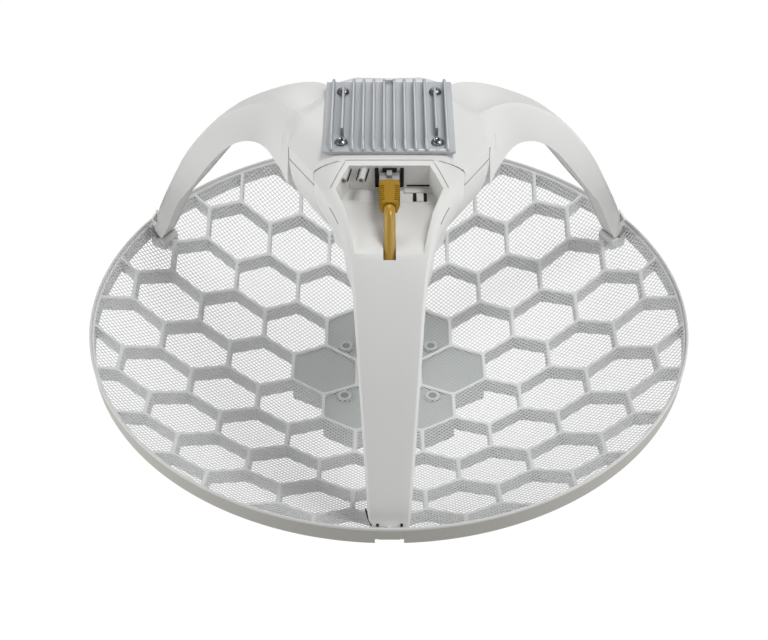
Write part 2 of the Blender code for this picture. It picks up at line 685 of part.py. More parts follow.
def build_heat_sink():
    base = VERTEX_Z + HEAD_TOP + GAP
    bm = bmesh.new()
    bmesh.ops.create_cube(bm, size=1.0)
    bmesh.ops.scale(bm, verts=bm.verts, vec=(2 * SINK_HALF_X, 2 * SINK_HALF_Y, SINK_BASE))
    seat = Matrix.Translation((0, 0, base + SINK_BASE / 2))
    sink = place("heat_sink", finish_mesh("heat_sink", bm), "grey_alloy", seat)
    for index in range(FINS):
        step = index - (FINS - 1) / 2
        half = SHORT_FIN_HALF if abs(step) == SHORT_FIN_STEP else SINK_HALF_Y - FIN_INSET
        fin = box(f"fin_{index + 1}", (FIN_WIDTH, 2 * half, FIN_HEIGHT + FIN_FOOT),
                  (step * FIN_PITCH, 0, base + SINK_BASE + (FIN_HEIGHT - FIN_FOOT) / 2))
        boolean(sink, fin, "UNION")
    for index, (x, y) in enumerate(SINK_SCREWS):
        low = base + SINK_BASE + GAP
        profile = [(0, SINK_SCREW_HEIGHT), (2.2 * MM, SINK_SCREW_HEIGHT), (3.3 * MM, SINK_SCREW_HEIGHT * 0.7),
                   (SINK_SCREW_RADIUS, 0.8 * MM), (SINK_SCREW_RADIUS, 0), (0, 0)]
        turned(f"sink_screw_{index + 1}", profile, "steel_screw", (x * MM, y * MM, low), 20)


def build_cable():
    route = [Vector((x * MM, y * MM, z * MM)) for x, y, z in CABLE_ROUTE]
    curve = bpy.data.curves.new("data_cable", "CURVE")
    curve.dimensions = "3D"
    curve.bevel_depth = CABLE_RADIUS
    curve.bevel_resolution = 3
    curve.use_fill_caps = True
    spline = curve.splines.new("POLY")
    spline.points.add(CABLE_POINTS - 1)
    for index, point in enumerate(spline.points):
        point.co = (*smooth_point(route, index / (CABLE_POINTS - 1)), 1)
    curve.materials.append(material("ochre_plastic"))
    cable = bpy.data.objects.new("data_cable", curve)
    cable.location = (0, 0, VERTEX_Z)
    PARTS.objects.link(cable)


def smooth_point(route, share):
    """A point on the Catmull-Rom curve through the route's points."""
    place_on = share * (len(route) - 1)
    index = min(int(place_on), len(route) - 2)
    t = place_on - index
    a = route[max(index - 1, 0)]
    b = route[index]
    c = route[index + 1]
    d = route[min(index + 2, len(route) - 1)]
    bend = (2 * a - 5 * b + 4 * c - d) * t ** 2 + (3 * b - a - 3 * c + d) * t ** 3
    return (2 * b + (c - a) * t + bend) / 2


clear_scene()
PARTS = new_collection("grid_dish_antenna")
CUTTERS = new_collection("cutters")
build_reflector()
build_hub()
arms = {side: build_arm(side) for side in ARM_ANGLES}
build_head(arms["front"])
build_bay()
build_network_port()
build_bay_details()
build_heat_sink()
build_cable()
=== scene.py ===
"""Looks of the small wireless grid dish antenna: its finish, fine mesh, moulded arms, head and port bay."""

import json
import math

import bmesh
import bpy
from mathutils import Matrix, Vector


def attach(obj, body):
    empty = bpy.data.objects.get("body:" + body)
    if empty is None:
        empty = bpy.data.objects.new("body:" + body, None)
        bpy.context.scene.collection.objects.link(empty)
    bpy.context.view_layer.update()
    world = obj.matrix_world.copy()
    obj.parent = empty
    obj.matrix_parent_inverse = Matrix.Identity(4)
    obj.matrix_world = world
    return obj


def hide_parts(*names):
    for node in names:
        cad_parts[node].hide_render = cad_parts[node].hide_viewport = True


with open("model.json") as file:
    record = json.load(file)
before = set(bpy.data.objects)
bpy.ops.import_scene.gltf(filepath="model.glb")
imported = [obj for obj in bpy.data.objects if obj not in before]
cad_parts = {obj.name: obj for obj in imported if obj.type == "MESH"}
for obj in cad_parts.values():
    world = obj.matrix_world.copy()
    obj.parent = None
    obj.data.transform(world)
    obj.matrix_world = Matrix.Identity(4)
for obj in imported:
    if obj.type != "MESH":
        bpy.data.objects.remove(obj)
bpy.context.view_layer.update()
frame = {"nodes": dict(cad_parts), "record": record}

MM = 0.001

# The camera: its place in the part's frame, its pitch below the horizon and its focal length
CAMERA_PLACE = Vector((-3.08, -753.0, 693.3)) * MM
CAMERA_PITCH = 40.1
FOCAL_LENGTH = 69.43
SENSOR = 36.0

# Lamps: azimuth and height of each in degrees, its size and its watts
LAMPS = {
    "high_right": (0, 70, 0.5, 8.9),
    "front_right": (330, 40, 1.0, 5.9),
    "left": (180, 40, 1.0, 4.6),
    "front_left": (210, 30, 1.0, 3.2),
    "front": (270, 35, 1.0, 1.9),
    "back": (90, 40, 1.0, 5.9),
    "low_left": (180, 12, 1.0, 6.5),
    "low_right": (0, 12, 1.0, 6.0),
}
LAMP_REACH = 1.6
LAMP_TARGET = (0.0, 0.0, 0.12)

# The floor's glow on the object: its level from each distance on, and its gain towards both sides
FLOOR_HALF = 6.0
FLOOR_ZONES = ((0.0, 0.47), (0.22, 1.0), (0.6, 0.255))
FLOOR_SIDES = (0.06, 0.30)
FLOOR_GLOW = (0.85, 1.3)
FLOOR_SEEN = 1.02

# The reflector, measured from its vertex
VERTEX_Z = 12.0 * MM
BOWL = 1.51
RIM_OUTER = 195.5 * MM
RIM_INNER = 193.8 * MM
RIM_TOP = 58.9 * MM
RIM_HEIGHT = 12.9 * MM
RIM_STEPS = 256
NOTCH_HALF = 2.42
NOTCH_STEP = 1.8
NOTCH_RISE = 2.9 * MM
STEP_RISE = 3.6 * MM
NOTCH_CLEAR = (9.5 * MM, 186.0 * MM)
NOTCH_DEPTH = 7.0 * MM

# The honeycomb: the crest of its ribs is a share of their width against the drop in millimetres
GRILLE_OUTER = 193.7 * MM
GRILLE_STEPS = 192
CELL = 43.35 * MM
CELL_ROWS = 5
RIB_WIDTH = 2.3 * MM
RIB_DEPTH = 10.8 * MM
RIB_CREST = ((0.5, 0.02), (0.86, 0.18), (1.0, 0.5))
RIB_EDGE = 0.4
RIB_CORNER = 2.4 * MM
RIM_FLANGE = 1.2 * MM
LEAST_CELL = 20 * MM * MM
LEAST_MESH = 15 * MM * MM
LEAST_HOLE = 12 * MM * MM

# The hub: its plate behind the seven middle cells, and the rings round its screw places
HUB_DROP = 2.1 * MM
HUB_LIFT = 0.12 * MM
HUB_PLATE = 0.6 * MM
BOSS_PLACES = [(x, y) for y in (25.3, -25.3) for x in (-29.5, 29.5)]
BOSS_RING = ((4.9, -2.0), (4.9, 0.1), (4.6, 0.45), (4.1, 0.55), (3.1, 0.55), (2.75, 0.35), (2.6, -0.2),
             (2.5, -2.0), (0.0, -2.0))
# A dark disc in each ring's hole, as painted shade
BOSS_HOLE = ((0.0, 0.12), (2.7, 0.12), (2.7, -0.8), (0.0, -0.8))

# The fine mesh: square holes at 45 degrees to the arm that carries the cable
WIRE_PITCH = 2.43 * MM
WIRE_WIDTH = 0.56 * MM
WIRE_DEPTH = 0.05 * MM
WIRE_STEP = 14.0 * MM
WIRE_LEAST = 1.2 * MM
WIRE_DROPS = ((45, 0.3), (135, 0.33))

# Arms: azimuth of each, and curves of sizes in millimetres against the distance from the axis
ARM_ANGLES = {"front": 270, "right": 30, "left": 150}
JOIN = 62.0
LOWER_CREST = ((117, 174.0), (132.6, 157.8), (149.6, 134.2), (164.3, 106.8), (177.2, 80.8), (190, 52.3))
CREST_HEIGHT = {
    "side": ((54.6, 201.8), (60, 202.0), (65, 201.6), (70, 200.6), (75, 199.2), (80, 197.2), (85, 195.0),
             (95, 189.6), (105, 183.2), *LOWER_CREST),
    "front": ((43.7, 203.9), (57, 202.8), (67, 200.6), (78, 197.0), (85, 194.4), (95, 189.2), (105, 183.0),
              *LOWER_CREST, (192.5, 47.0)),
}
CREST_HALF = {
    "side": ((54.6, 17.8), (60, 17.6), (65, 16.6), (70, 15.3), (75, 13.8), (80, 12.6), (85, 11.3), (92, 9.9),
             (100, 9.2), (115, 9.2), (130, 10.2), (150, 11.0), (175, 11.1), (183, 8.4), (190, 3.8)),
    "front": ((43.7, 24.9), (66.7, 33.3), (75, 30.0), (82, 27.2), (92, 24.2), (105, 21.4), (126, 17.8),
              (147, 15.6), (165, 13.2), (180, 11.2), (192.5, 9.4)),
}
LOWER_HALF = {
    "side": ((54.6, 31.0), (57.4, 28.8), (62, 25.0), (65, 22.8), (75, 17.8), (85, 15.4), (104.5, 14.6),
             (113, 14.0), (122.6, 13.2), (132.6, 12.0), (139, 11.2), (143.7, 10.6), (152.2, 9.6),
             (160.2, 8.8), (169, 7.7), (182, 7.3)),
    "front": ((43.7, 43.7), (50, 42.6), (57.4, 40.4), (66, 37.0), (80, 30.6), (92, 26.4), (105, 23.6),
              (112, 21.7), (126, 20.0), (147, 17.7), (165, 15.4), (178, 13.6), (186, 12.4), (192.5, 11.0)),
}
NEAR_HEAD = ((43, 156), (57.4, 157.6), (71.2, 161.7), (76.7, 165.0), (84.2, 167.2), (92, 166.6))
UNDERSIDE = {
    "side": (*NEAR_HEAD, (101.3, 162.7), (113.2, 153.3), (122.6, 142.6), (132.6, 129.6), (143.7, 114.0),
             (152.2, 102.7), (160.2, 92.1), (165.5, 82.5), (169.0, 73.4), (175.5, 61.1), (181.1, 50.2),
             (190, 36)),
    "front": (*NEAR_HEAD, (101.3, 162.2), (113.6, 152.6), (127.2, 136.9), (141.2, 117.8), (153.2, 98.4),
              (164, 80.8), (175, 58.4), (180.5, 50.3), (190, 40)),
}
ARM_LEAN = ((95, 270), (115, 246), (130, 227), (150, 210), (175, 198), (190, 180))
ARM_LIP = 1.3
ARM_TUCK = 0.5

# The side arms alone: how their flank bends and their top is scooped, and the slit in their underside
SIDE_STATIONS = (54.0, 58.0, JOIN - 0.1, JOIN, *range(64, 77, 3), *range(80, 97, 4), *range(100, 121, 5),
                 *range(126, 139, 6), *range(145, 160, 7))
FLANK_BEND = ((62, 2.5), (70, 1.9), (80, 1.4), (190, 1.3))
SCOOP = ((54.6, 2.6), (62, 2.6), (72, 1.9), (84, 0.7), (100, -0.5), (190, -0.5))
SCOOP_SHARES = (0.0, 0.3, 0.6, 0.85)
PLATE_DEPTH = 0.4
SLIT_DEPTH = 4.5
SLIT_START = 141.0
SLIT_END = 165.0
FOOT_RADIUS = 190.0

# The front arm alone: its widest place, the end of its straight edges, its shoulder and its wall
FRONT_CORNER = 66.7
FRONT_STRAIGHT = 75
FRONT_DROP = ((43.7, 9.1), (57, 9.0), (66.7, 8.0), (92, 5.0), (126, 3.4), (190, 3.0))
FRONT_WALL = 2.4
SHOULDER_STEPS = 8

# The arms' feet: seats as lower edge and half width, the front holes and slit, painted black as their shade,
# in x, y and height, and the side arms' painted shadow lines and the corners of their shaded recess and of
# their white ear as distance along, offset and height
NEAR_SIDE = {"left": 1, "right": -1}
SEATS = {"left": (42.0, 8.0), "right": (42.0, 8.0), "front": (49.6, 11.0)}
SEAT_RUN = (177.6, 189.8)
SEAT_TOP = 51.0
FRONT_HOLES = (-6.7, 6.9)
FRONT_SLIT = ((-13.5, -179.5, 58.2), (-12.3, -184.6, 56.6), (-10.3, -189.3, 55.0))
FOOT_LINE = ((179.4, -7.3, 51.6), (181.3, 7.3, 50.7))
FOOT_RECESS = ((180.3, 9.9, 75.4), (187.6, 6.3, 65.2), (182.9, 8.3, 65.8))
FOOT_GAP = ((190.6, 3.8, 54.6), (187.4, 5.8, 53.0), (184.2, 7.2, 51.6))
FOOT_EAR = ((179.6, 9.8, 79.0), (191.2, 4.1, 62.8), (182.4, 7.9, 64.2), (178.6, 9.0, 76.0))
FOOT_PLATE = 0.8

# The head: its plateau, the step down to each side arm, its flanks and valley walls, its seam, and the
# levels of its body as share of the way from the neck to the seam against height
PLATEAU = 204.1
STEP_RADIUS = 43.6
STEP_FOOT = 54.6
STEP_FOOT_MIDDLE = (53.4, 199.1)
SHOULDER = ((23.4, 203.8), (30.0, 203.2), (36.0, 200.8), (40.0, 198.6), (42.7, 196.8), (43.7, 194.8),
            (43.7, 190.5), (43.7, 186.5))
VALLEY_LINE = ((41.5, 204.1), (46.5, 203.4), (51.2, 201.2), (54.8, 198.8), (57.6, 196.6), (59.7, 194.6),
               (59.7, 190.5), (59.7, 186.5))
VALLEY_STEPS = 5
VALLEY = 59.7
VALLEY_HALF = 16.0
SEAM_HALF = ((43.6, 43.7), (46, 40.0), (49, 35.5), (52, 31.4), (54.6, 28.4), (57, 26.0), (59.5, 24.0),
             (62, 22.43))
HEAD_STATIONS = [station for station, half in SEAM_HALF]
SEAM_Z = 186.5
# Thickness of the painted shadow lines at the seams
SEAM_RADIUS = 0.28 * MM
SEAM_END = math.degrees(math.atan2(SEAM_HALF[-1][1], JOIN))
NECK_Z = 148.0
NECK_VALLEY = 47.0
NECK_ARM = 45.0
BODY_LEVELS = ((1.0, SEAM_Z), (0.99, 182.0), (0.94, 176.0), (0.83, 169.0), (0.63, 162.0), (0.36, 156.0),
               (0.14, 151.5), (0.0, NECK_Z))

# The heat sink: its foot, its fins as places along them with their height, and its screws
SINK_Z = 203.9
FIN_COUNT = 12
FIN_PITCH = 6.13
SHORT_PLACE = 4.5
LONG_FIN = ((-37.8, 3.6), (-36.5, 4.6), (-31.0, 8.3), (-29.5, 8.45), (29.5, 8.45), (31.5, 7.9), (37.6, 5.0))
SHORT_FIN = ((-22.6, 8.45), (22.6, 8.45), (24.6, 7.6))
FIN_FOOT = 2.2
FIN_LEAST = 3.5
NOTCH_OUTLINE = ((-1.9, 0.0), (1.9, 0.0), (1.2, 1.1), (-1.2, 1.1))
SCREW_PLACES = [(x, y) for y in (-29.3, 26.3) for x in (-28.0, 28.0)]
SCREW_SEAT = 2.45
SCREW_HEAD = ((0.0, 1.0), (0.9, 1.0), (1.1, 2.1), (1.5, 2.35), (2.4, 2.2), (3.2, 1.6), (3.75, 0.7),
              (3.85, 0.0), (0.0, 0.0))

# The port bay on the front arm
BAY_OPENING = ((48.6, 23.1), (67.0, 30.3), (75.0, 27.0), (82.3, 24.2), (94.3, 21.1), (104.6, 19.0),
               (105.4, 4.9), (107.8, 4.6))
BAY_START = BAY_OPENING[0][0]
BAY_END = BAY_OPENING[-1][0]
BAY_LEDGE = ((48.6, 187.2), (61.2, 187.0), (61.8, 186.5), (105.0, 182.9), (108.0, 181.0))
BAY_CHANNEL = ((48.6, 187.0), (105.0, 168.0), (108.0, 167.0))
CHANNEL_HALF = 3.4
BAY_BAND = 1.2
FRONT_STATIONS = (43.72, 46.0, BAY_START - 0.1, BAY_START, 52, 56, 60, 61.2, 61.8, 64, 66.7, 67.4, 71, 75, 79,
                  82.3, 86, 90, 94.3, 98, 102, 104.6, 105.4, BAY_END - 0.1, BAY_END, 112, 117, 122, 128, 134,
                  140, 147, 154, 162, 170, 178, 185, 190, 192.4)
SLOT_PLACES = (14.55, 20.6)
PEG_Z = 200.2
PEG_Y = -47.0
PEG_RADIUS = 2.0
PEG_LENGTH = 12.2
PEG_BORE = 2.5
PEG_TURN = 9.6
PEG_PLACES = (-24.2, -14.1)
# The black strips of painted shadow beside each peg: near and far offset, and depth
PEG_SHADOW_STRIP = (2.45, 2.85, 1.3)

# The boot: places along it, each with how far its sides stand out there
BOOT_Z = 196.1
BOOT_FRONT = ((-57.9, -0.3), (-58.4, 0.0), (-62.0, 0.0))
BOOT_RIB = ((0.0, 0.0), (0.15, -1.1), (0.75, -1.1), (0.9, 0.0))
BOOT_RIBS = 8
BOOT_RIB_START = 63.2
BOOT_RIB_PITCH = 1.9
BOOT_END = ((-79.0, 0.0), (-80.0, -0.7))
BOOT_SQUARE = 0.3
BOOT_SIDES = 64

# The lead: its route above the vertex, and its thickness
CABLE_ROUTE = ((0.0, -80.6, 196.1), (0.0, -85.4, 195.8), (0.0, -91.2, 191.4), (0.0, -97.2, 185.0),
               (0.0, -101.8, 179.4), (0.0, -105.2, 174.9), (0.0, -110.0, 168.9), (0.0, -118.0, 160.4),
               (0.0, -128.0, 150.0), (0.0, -142.2, 130.3), (0.0, -156.7, 103.1), (0.0, -169.3, 77.6),
               (0.0, -177.6, 62.0), (0.0, -182.6, 53.0), (0.0, -184.4, 47.0), (0.0, -184.6, 41.6))
CABLE_RADIUS = 3.25
CABLE_POINTS = 96


def mm(x, y, z):
    """A point given in millimetres above the dish's vertex."""
    return Vector((x, y, z)) * MM + Vector((0, 0, VERTEX_Z))


def scaled(points):
    """Pairs of millimetres in metres."""
    return [(a * MM, b * MM) for a, b in points]


def on_circle(radius, angle):
    return radius * math.cos(angle), radius * math.sin(angle)


def straight(points, x):
    """Value at x of straight runs through points of (x, value)."""
    if x <= points[0][0]:
        return points[0][1]
    for (xa, ya), (xb, yb) in zip(points, points[1:]):
        if x <= xb:
            return ya + (yb - ya) * (x - xa) / (xb - xa)
    return points[-1][1]


def table(points, x):
    """Smooth value at x of a curve through points of (x, value)."""
    if x <= points[0][0]:
        return points[0][1]
    if x >= points[-1][0]:
        return points[-1][1]
    index = max(i for i, point in enumerate(points) if point[0] <= x)
    (xa, ya), (xb, yb) = points[index], points[index + 1]

    def slope(i):
        low, high = max(i - 1, 0), min(i + 1, len(points) - 1)
        return (points[high][1] - points[low][1]) / (points[high][0] - points[low][0])

    span = xb - xa
    t = (x - xa) / span
    ma, mb = slope(index) * span, slope(index + 1) * span
    return ((2 * t**3 - 3 * t**2 + 1) * ya + (t**3 - 2 * t**2 + t) * ma
            + (3 * t**2 - 2 * t**3) * yb + (t**3 - t**2) * mb)


def blend(a, b, share):
    return a + (b - a) * share


def bowl_height(x, y):
    """Height of the reflector's front surface in the part's frame, in metres."""
    return VERTEX_Z + BOWL * (x * x + y * y)


def arm_turn(side):
    return Matrix.Rotation(math.radians(ARM_ANGLES[side]), 4, "Z")


# Materials


def set_inputs(node, values):
    for name, value in values.items():
        node.inputs[name].default_value = value


def join(source, output, target, socket):
    source.id_data.links.new(source.outputs[output], target.inputs[socket])


def plastic(name, colour, roughness=0.42, tint=0.04, grain=0.012, scale=900.0):
    """Moulded plastic: a fine grain in its surface, a soft unevenness of colour and gloss."""
    made = bpy.data.materials.new(name)
    made.use_nodes = True
    nodes = made.node_tree.nodes
    shader = nodes["Principled BSDF"]
    place = nodes.new("ShaderNodeTexCoord")
    cloud = nodes.new("ShaderNodeTexNoise")
    set_inputs(cloud, {"Scale": 14.0, "Detail": 3.0})
    join(place, "Object", cloud, "Vector")
    shade = nodes.new("ShaderNodeMix")
    shade.data_type = "RGBA"
    set_inputs(shade, {"A": (*[c * (1 - tint) for c in colour], 1),
                       "B": (*[min(c * (1 + tint), 1) for c in colour], 1)})
    join(cloud, "Fac", shade, "Factor")
    join(shade, "Result", shader, "Base Color")
    gloss = nodes.new("ShaderNodeMapRange")
    set_inputs(gloss, {"To Min": roughness - 0.05, "To Max": roughness + 0.05})
    join(cloud, "Fac", gloss, "Value")
    join(gloss, "Result", shader, "Roughness")
    speckle = nodes.new("ShaderNodeTexNoise")
    set_inputs(speckle, {"Scale": scale, "Detail": 2.0})
    join(place, "Object", speckle, "Vector")
    bump = nodes.new("ShaderNodeBump")
    set_inputs(bump, {"Strength": 0.25, "Distance": grain * MM})
    join(speckle, "Fac", bump, "Height")
    join(bump, "Normal", shader, "Normal")
    return made


def metal(name, colour, roughness, metallic):
    made = plastic(name, colour, roughness, 0.06, 0.03, 1400.0)
    made.node_tree.nodes["Principled BSDF"].inputs["Metallic"].default_value = metallic
    return made


WHITE = plastic("white_plastic", (0.80, 0.80, 0.785), 0.45, 0.012)
# The rim's outer wall: the white plastic darkened, as painted shade for a wall that faces away from the lamps
RIM_SHADED_WALL = plastic("rim_wall_painted_shade", (0.47, 0.462, 0.428), 0.5, 0.015)
GRILLE = plastic("grille_plastic", (0.72, 0.73, 0.725), 0.55, 0.02)
RIM_LIP = plastic("rim_lip_plastic", (0.70, 0.70, 0.685), 0.5, 0.015)
# The ribs' walls: the grille plastic a little darker, as painted shade for walls under the crests
RIB_WALL_SHADED = plastic("rib_wall_painted_shade", (0.68, 0.685, 0.68), 0.6, 0.02)
WIRES = plastic("mesh_plastic", (0.62, 0.63, 0.63), 0.55, 0.02)
PEG = plastic("peg_plastic", (0.60, 0.60, 0.59), 0.5, 0.02)
HUB = plastic("hub_plastic", (0.52, 0.555, 0.55), 0.5, 0.03)
# A grey copy of the white plastic laid where only shade falls, in seams, gaps, recesses, holes and grooves:
# painted shade
PAINTED_SHADE = plastic("painted_gap_shade", (0.30, 0.30, 0.295), 0.8, 0.02)
ALLOY = metal("grey_alloy", (0.50, 0.52, 0.54), 0.46, 0.35)
STEEL = metal("steel_screw", (0.34, 0.35, 0.36), 0.28, 1.0)
CLEAR = plastic("clear_plastic", (0.26, 0.26, 0.25), 0.15, 0.03)
# The boot: the ochre plastic darker than the cable's, as painted shade to tone down its top that faces the
# lamps
BOOT_SHADED = plastic("boot_painted_shade", (0.36, 0.20, 0.006), 0.6, 0.03, 0.02, 500.0)
BOOT_SHADED.node_tree.nodes["Principled BSDF"].inputs["Specular IOR Level"].default_value = 0.2
OCHRE = plastic("ochre_plastic", (0.46, 0.28, 0.035), 0.25, 0.05, 0.02, 500.0)
BLACK = plastic("black_plastic", (0.006, 0.006, 0.006), 0.85, 0.02)
SLOTS = {WHITE: "white_plastic", RIM_SHADED_WALL: "white_plastic", RIM_LIP: "white_plastic", PAINTED_SHADE: "white_plastic",
         PEG: "white_plastic", GRILLE: "grille_plastic", RIB_WALL_SHADED: "grille_plastic", WIRES: "grille_plastic",
         HUB: "grey_plastic", ALLOY: "grey_alloy", STEEL: "steel_screw", CLEAR: "clear_plastic",
         OCHRE: "ochre_plastic", BOOT_SHADED: "ochre_plastic", BLACK: "black_plastic"}


# Making pieces


def add_object(name, data):
    made = bpy.data.objects.new(name, data)
    bpy.context.scene.collection.objects.link(made)
    return made


def finish_piece(name, bm, look, nodes=(), sharp=32.0, weld=0.002):
    """A mesh piece of the part that stands for the CAD nodes it names."""
    bmesh.ops.remove_doubles(bm, verts=bm.verts, dist=weld * MM)
    bmesh.ops.recalc_face_normals(bm, faces=bm.faces)
    mesh = bpy.data.meshes.new(name)
    bm.to_mesh(mesh)
    bm.free()
    mesh.shade_smooth()
    mesh.set_sharp_from_angle(angle=math.radians(sharp))
    mesh.materials.append(look)
    piece = add_object(name, mesh)
    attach(piece, "root")
    if nodes:
        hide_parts(*nodes)


def ring_faces(bm, loops, closed=True):
    """Quads between loops that have the same number of points."""
    for first, second in zip(loops, loops[1:]):
        count = len(first)
        for index in range(count if closed else count - 1):
            after = (index + 1) % count
            corners = []
            for vertex in (first[index], first[after], second[after], second[index]):
                if vertex not in corners:
                    corners.append(vertex)
            if len(corners) > 2:
                bm.faces.new(corners)


def skin(bm, loops):
    """Quads between loops, and a face over both ends."""
    ring_faces(bm, loops)
    bm.faces.new(loops[0])
    bm.faces.new(loops[-1])


def turned_piece(name, profile, look, centre=(0, 0, 0), steps=48, nodes=(), matrix=None):
    """A profile of (radius, height) points turned about Z."""
    bm = bmesh.new()
    loops = []
    for radius, height in profile:
        if radius < 1e-7:
            loops.append([bm.verts.new((0, 0, height))] * steps)
            continue
        ring = [on_circle(radius, math.tau * k / steps) for k in range(steps)]
        loops.append([bm.verts.new((x, y, height)) for x, y in ring])
    ring_faces(bm, loops)
    bmesh.ops.transform(bm, matrix=(matrix or Matrix.Identity(4)), verts=bm.verts)
    bmesh.ops.translate(bm, vec=centre, verts=bm.verts)
    finish_piece(name, bm, look, nodes)


def prism_into(bm, outline, high, matrix):
    """A closed prism of a flat outline, standing on its own XY plane, added to a mesh."""
    skin(bm, [[bm.verts.new(matrix @ Vector((x, y, z))) for x, y in outline] for z in (0.0, high)])


def block_into(bm, low, high, edge, turn=None):
    """A box between two corners in millimetres above the vertex, with bevelled edges."""
    made = bmesh.ops.create_cube(bm, size=1.0)["verts"]
    size = [b - a for a, b in zip(low, high)]
    centre = [(a + b) / 2 for a, b in zip(low, high)]
    bmesh.ops.scale(bm, vec=[s * MM for s in size], verts=made)
    bmesh.ops.translate(bm, vec=mm(*centre), verts=made)
    if turn:
        bmesh.ops.transform(bm, matrix=turn, verts=made)
    edges = list({e for v in made for e in v.link_edges})
    if edge:
        bmesh.ops.bevel(bm, geom=edges, offset=edge * MM, segments=2, affect="EDGES", profile=0.6)


def block_piece(name, look, blocks, nodes=()):
    """A piece of boxes, each given by two corners and its bevel."""
    bm = bmesh.new()
    for low, high, edge in blocks:
        block_into(bm, low, high, edge)
    finish_piece(name, bm, look, nodes)


def tube_into(bm, points, radius, sides=6):
    """A thin bar along points in metres, added to a mesh."""
    loops = []
    for index, point in enumerate(points):
        before, after = points[max(index - 1, 0)], points[min(index + 1, len(points) - 1)]
        along = (after - before).normalized()
        side = along.orthogonal().normalized()
        other = along.cross(side)
        loop = []
        for k in range(sides):
            across, up = on_circle(1.0, math.tau * k / sides)
            loop.append(bm.verts.new(point + radius * (side * across + other * up)))
        loops.append(loop)
    skin(bm, loops)


# The honeycomb


def hexagon(x, y, width):
    reach = width / math.sqrt(3)
    corners = [on_circle(reach, math.radians(30 + 60 * k)) for k in range(6)]
    return [(x + along, y + up) for along, up in corners]


def cell_centres():
    step = CELL * math.sqrt(3) / 2
    found = []
    for row in range(-CELL_ROWS, CELL_ROWS + 1):
        for column in range(-CELL_ROWS - 1, CELL_ROWS + 2):
            x = column * CELL + (CELL / 2 if row % 2 else 0.0)
            y = row * step
            if math.hypot(x, y) < RIM_OUTER + CELL / 2:
                found.append((x, y))
    return found


def is_hub_cell(centre):
    return math.hypot(*centre) < CELL * 1.1


def circle_cut(start, end, radius):
    """Shares of the way from start to end at which the line crosses the circle."""
    a = Vector(start)
    d = Vector(end) - a
    p, q, r = d.dot(d), 2 * a.dot(d), a.dot(a) - radius * radius
    root = math.sqrt(max(q * q - 4 * p * r, 0))
    return [t for t in ((-q - root) / (2 * p), (-q + root) / (2 * p)) if 1e-6 < t < 1 - 1e-6]


def cell_outline(centre, width, radius, steps=3):
    """A cell's outline inside the rim's circle, with its sides and its arc in short steps."""
    corners = hexagon(*centre, width)
    points = []
    for start, end in zip(corners, corners[1:] + corners[:1]):
        shares = sorted([k / steps for k in range(steps)] + circle_cut(start, end, radius))
        for share in shares:
            point = Vector(start).lerp(Vector(end), share)
            if point.length <= radius * 1.00001:
                points.append(point)
    if len(points) < 3:
        return []
    filled = []
    for index, point in enumerate(points):
        after = points[(index + 1) % len(points)]
        filled.append(point)
        on_rim = min(point.length, after.length) > radius * 0.9999
        if on_rim and (after - point).length > 1e-6:
            start = math.atan2(point.y, point.x)
            turn = (math.atan2(after.y, after.x) - start) % math.tau
            count = max(1, round(turn * radius / (6 * MM)))
            filled += [Vector(on_circle(radius, start + turn * k / count)) for k in range(1, count)]
    return filled


def loop_area(loop):
    return sum(a.x * b.y - b.x * a.y for a, b in zip(loop, loop[1:] + loop[:1])) / 2


def rounded(loop, reach):
    """The loop with its sharp corners drawn in a little towards the middle."""
    out = []
    for index, point in enumerate(loop):
        last, following = loop[index - 1], loop[(index + 1) % len(loop)]
        before = (point - last).normalized()
        after = (following - point).normalized()
        if before.angle(after) < math.radians(20):
            out.append(point)
            continue
        side_a, side_b = (point - last).length, (following - point).length
        pull = min(reach, 0.45 * side_a, 0.45 * side_b)
        drawn = point.lerp((last + following) / 2, 0.32 * pull / max(side_a, side_b))
        out += [point - before * pull, drawn, point + after * pull]
    return out


def stitch(bm, outer, inner, middle):
    """Faces between two loops round the same middle, whatever their numbers of points."""
    def angle(vertex):
        return math.atan2(vertex.co.y - middle.y, vertex.co.x - middle.x)

    start = angle(outer[0])
    first = min(range(len(inner)), key=lambda k: (angle(inner[k]) - start) % math.tau)
    inner = inner[first:] + inner[:first]
    a, b = 0, 0
    turn_a = [(angle(v) - start) % math.tau for v in outer] + [math.tau]
    turn_b = [(angle(v) - start) % math.tau for v in inner] + [math.tau]
    while a < len(outer) or b < len(inner):
        go_outer = b >= len(inner) or (a < len(outer) and turn_a[a + 1] <= turn_b[b + 1])
        here_a, here_b = outer[a % len(outer)], inner[b % len(inner)]
        if go_outer:
            a += 1
            corners = (here_a, outer[a % len(outer)], here_b)
        else:
            b += 1
            corners = (here_a, inner[b % len(inner)], here_b)
        if len(set(corners)) == 3:
            bm.faces.new(corners)


def rib_foot(x, y, depth):
    """Height of the ribs' lower edge, which stays above the cable's notch."""
    near = y < -NOTCH_CLEAR[1] and abs(x) < NOTCH_CLEAR[0]
    return bowl_height(x, y) - (min(depth, NOTCH_DEPTH) if near else depth)


def rib_loop(bm, loop, drop):
    return [bm.verts.new((x, y, rib_foot(x, y, drop))) for x, y in loop]


def rib_levels(centre, outer, depth):
    """Loops down the ribs round a cell, each with its drop, or none where the cell is a sliver."""
    levels = [(outer, 0.0)]
    for narrowing, drop in (*RIB_CREST, (1.0, depth / MM - RIB_EDGE)):
        loop = cell_outline(centre, CELL - RIB_WIDTH * narrowing, GRILLE_OUTER - RIM_FLANGE * narrowing)
        if len(loop) > 2 and loop_area(loop) > LEAST_HOLE:
            loop = rounded(loop, RIB_CORNER * narrowing)
        if len(loop) < 3 or loop_area(loop) < LEAST_HOLE:
            return None
        levels.append((loop, drop * MM))
    return levels


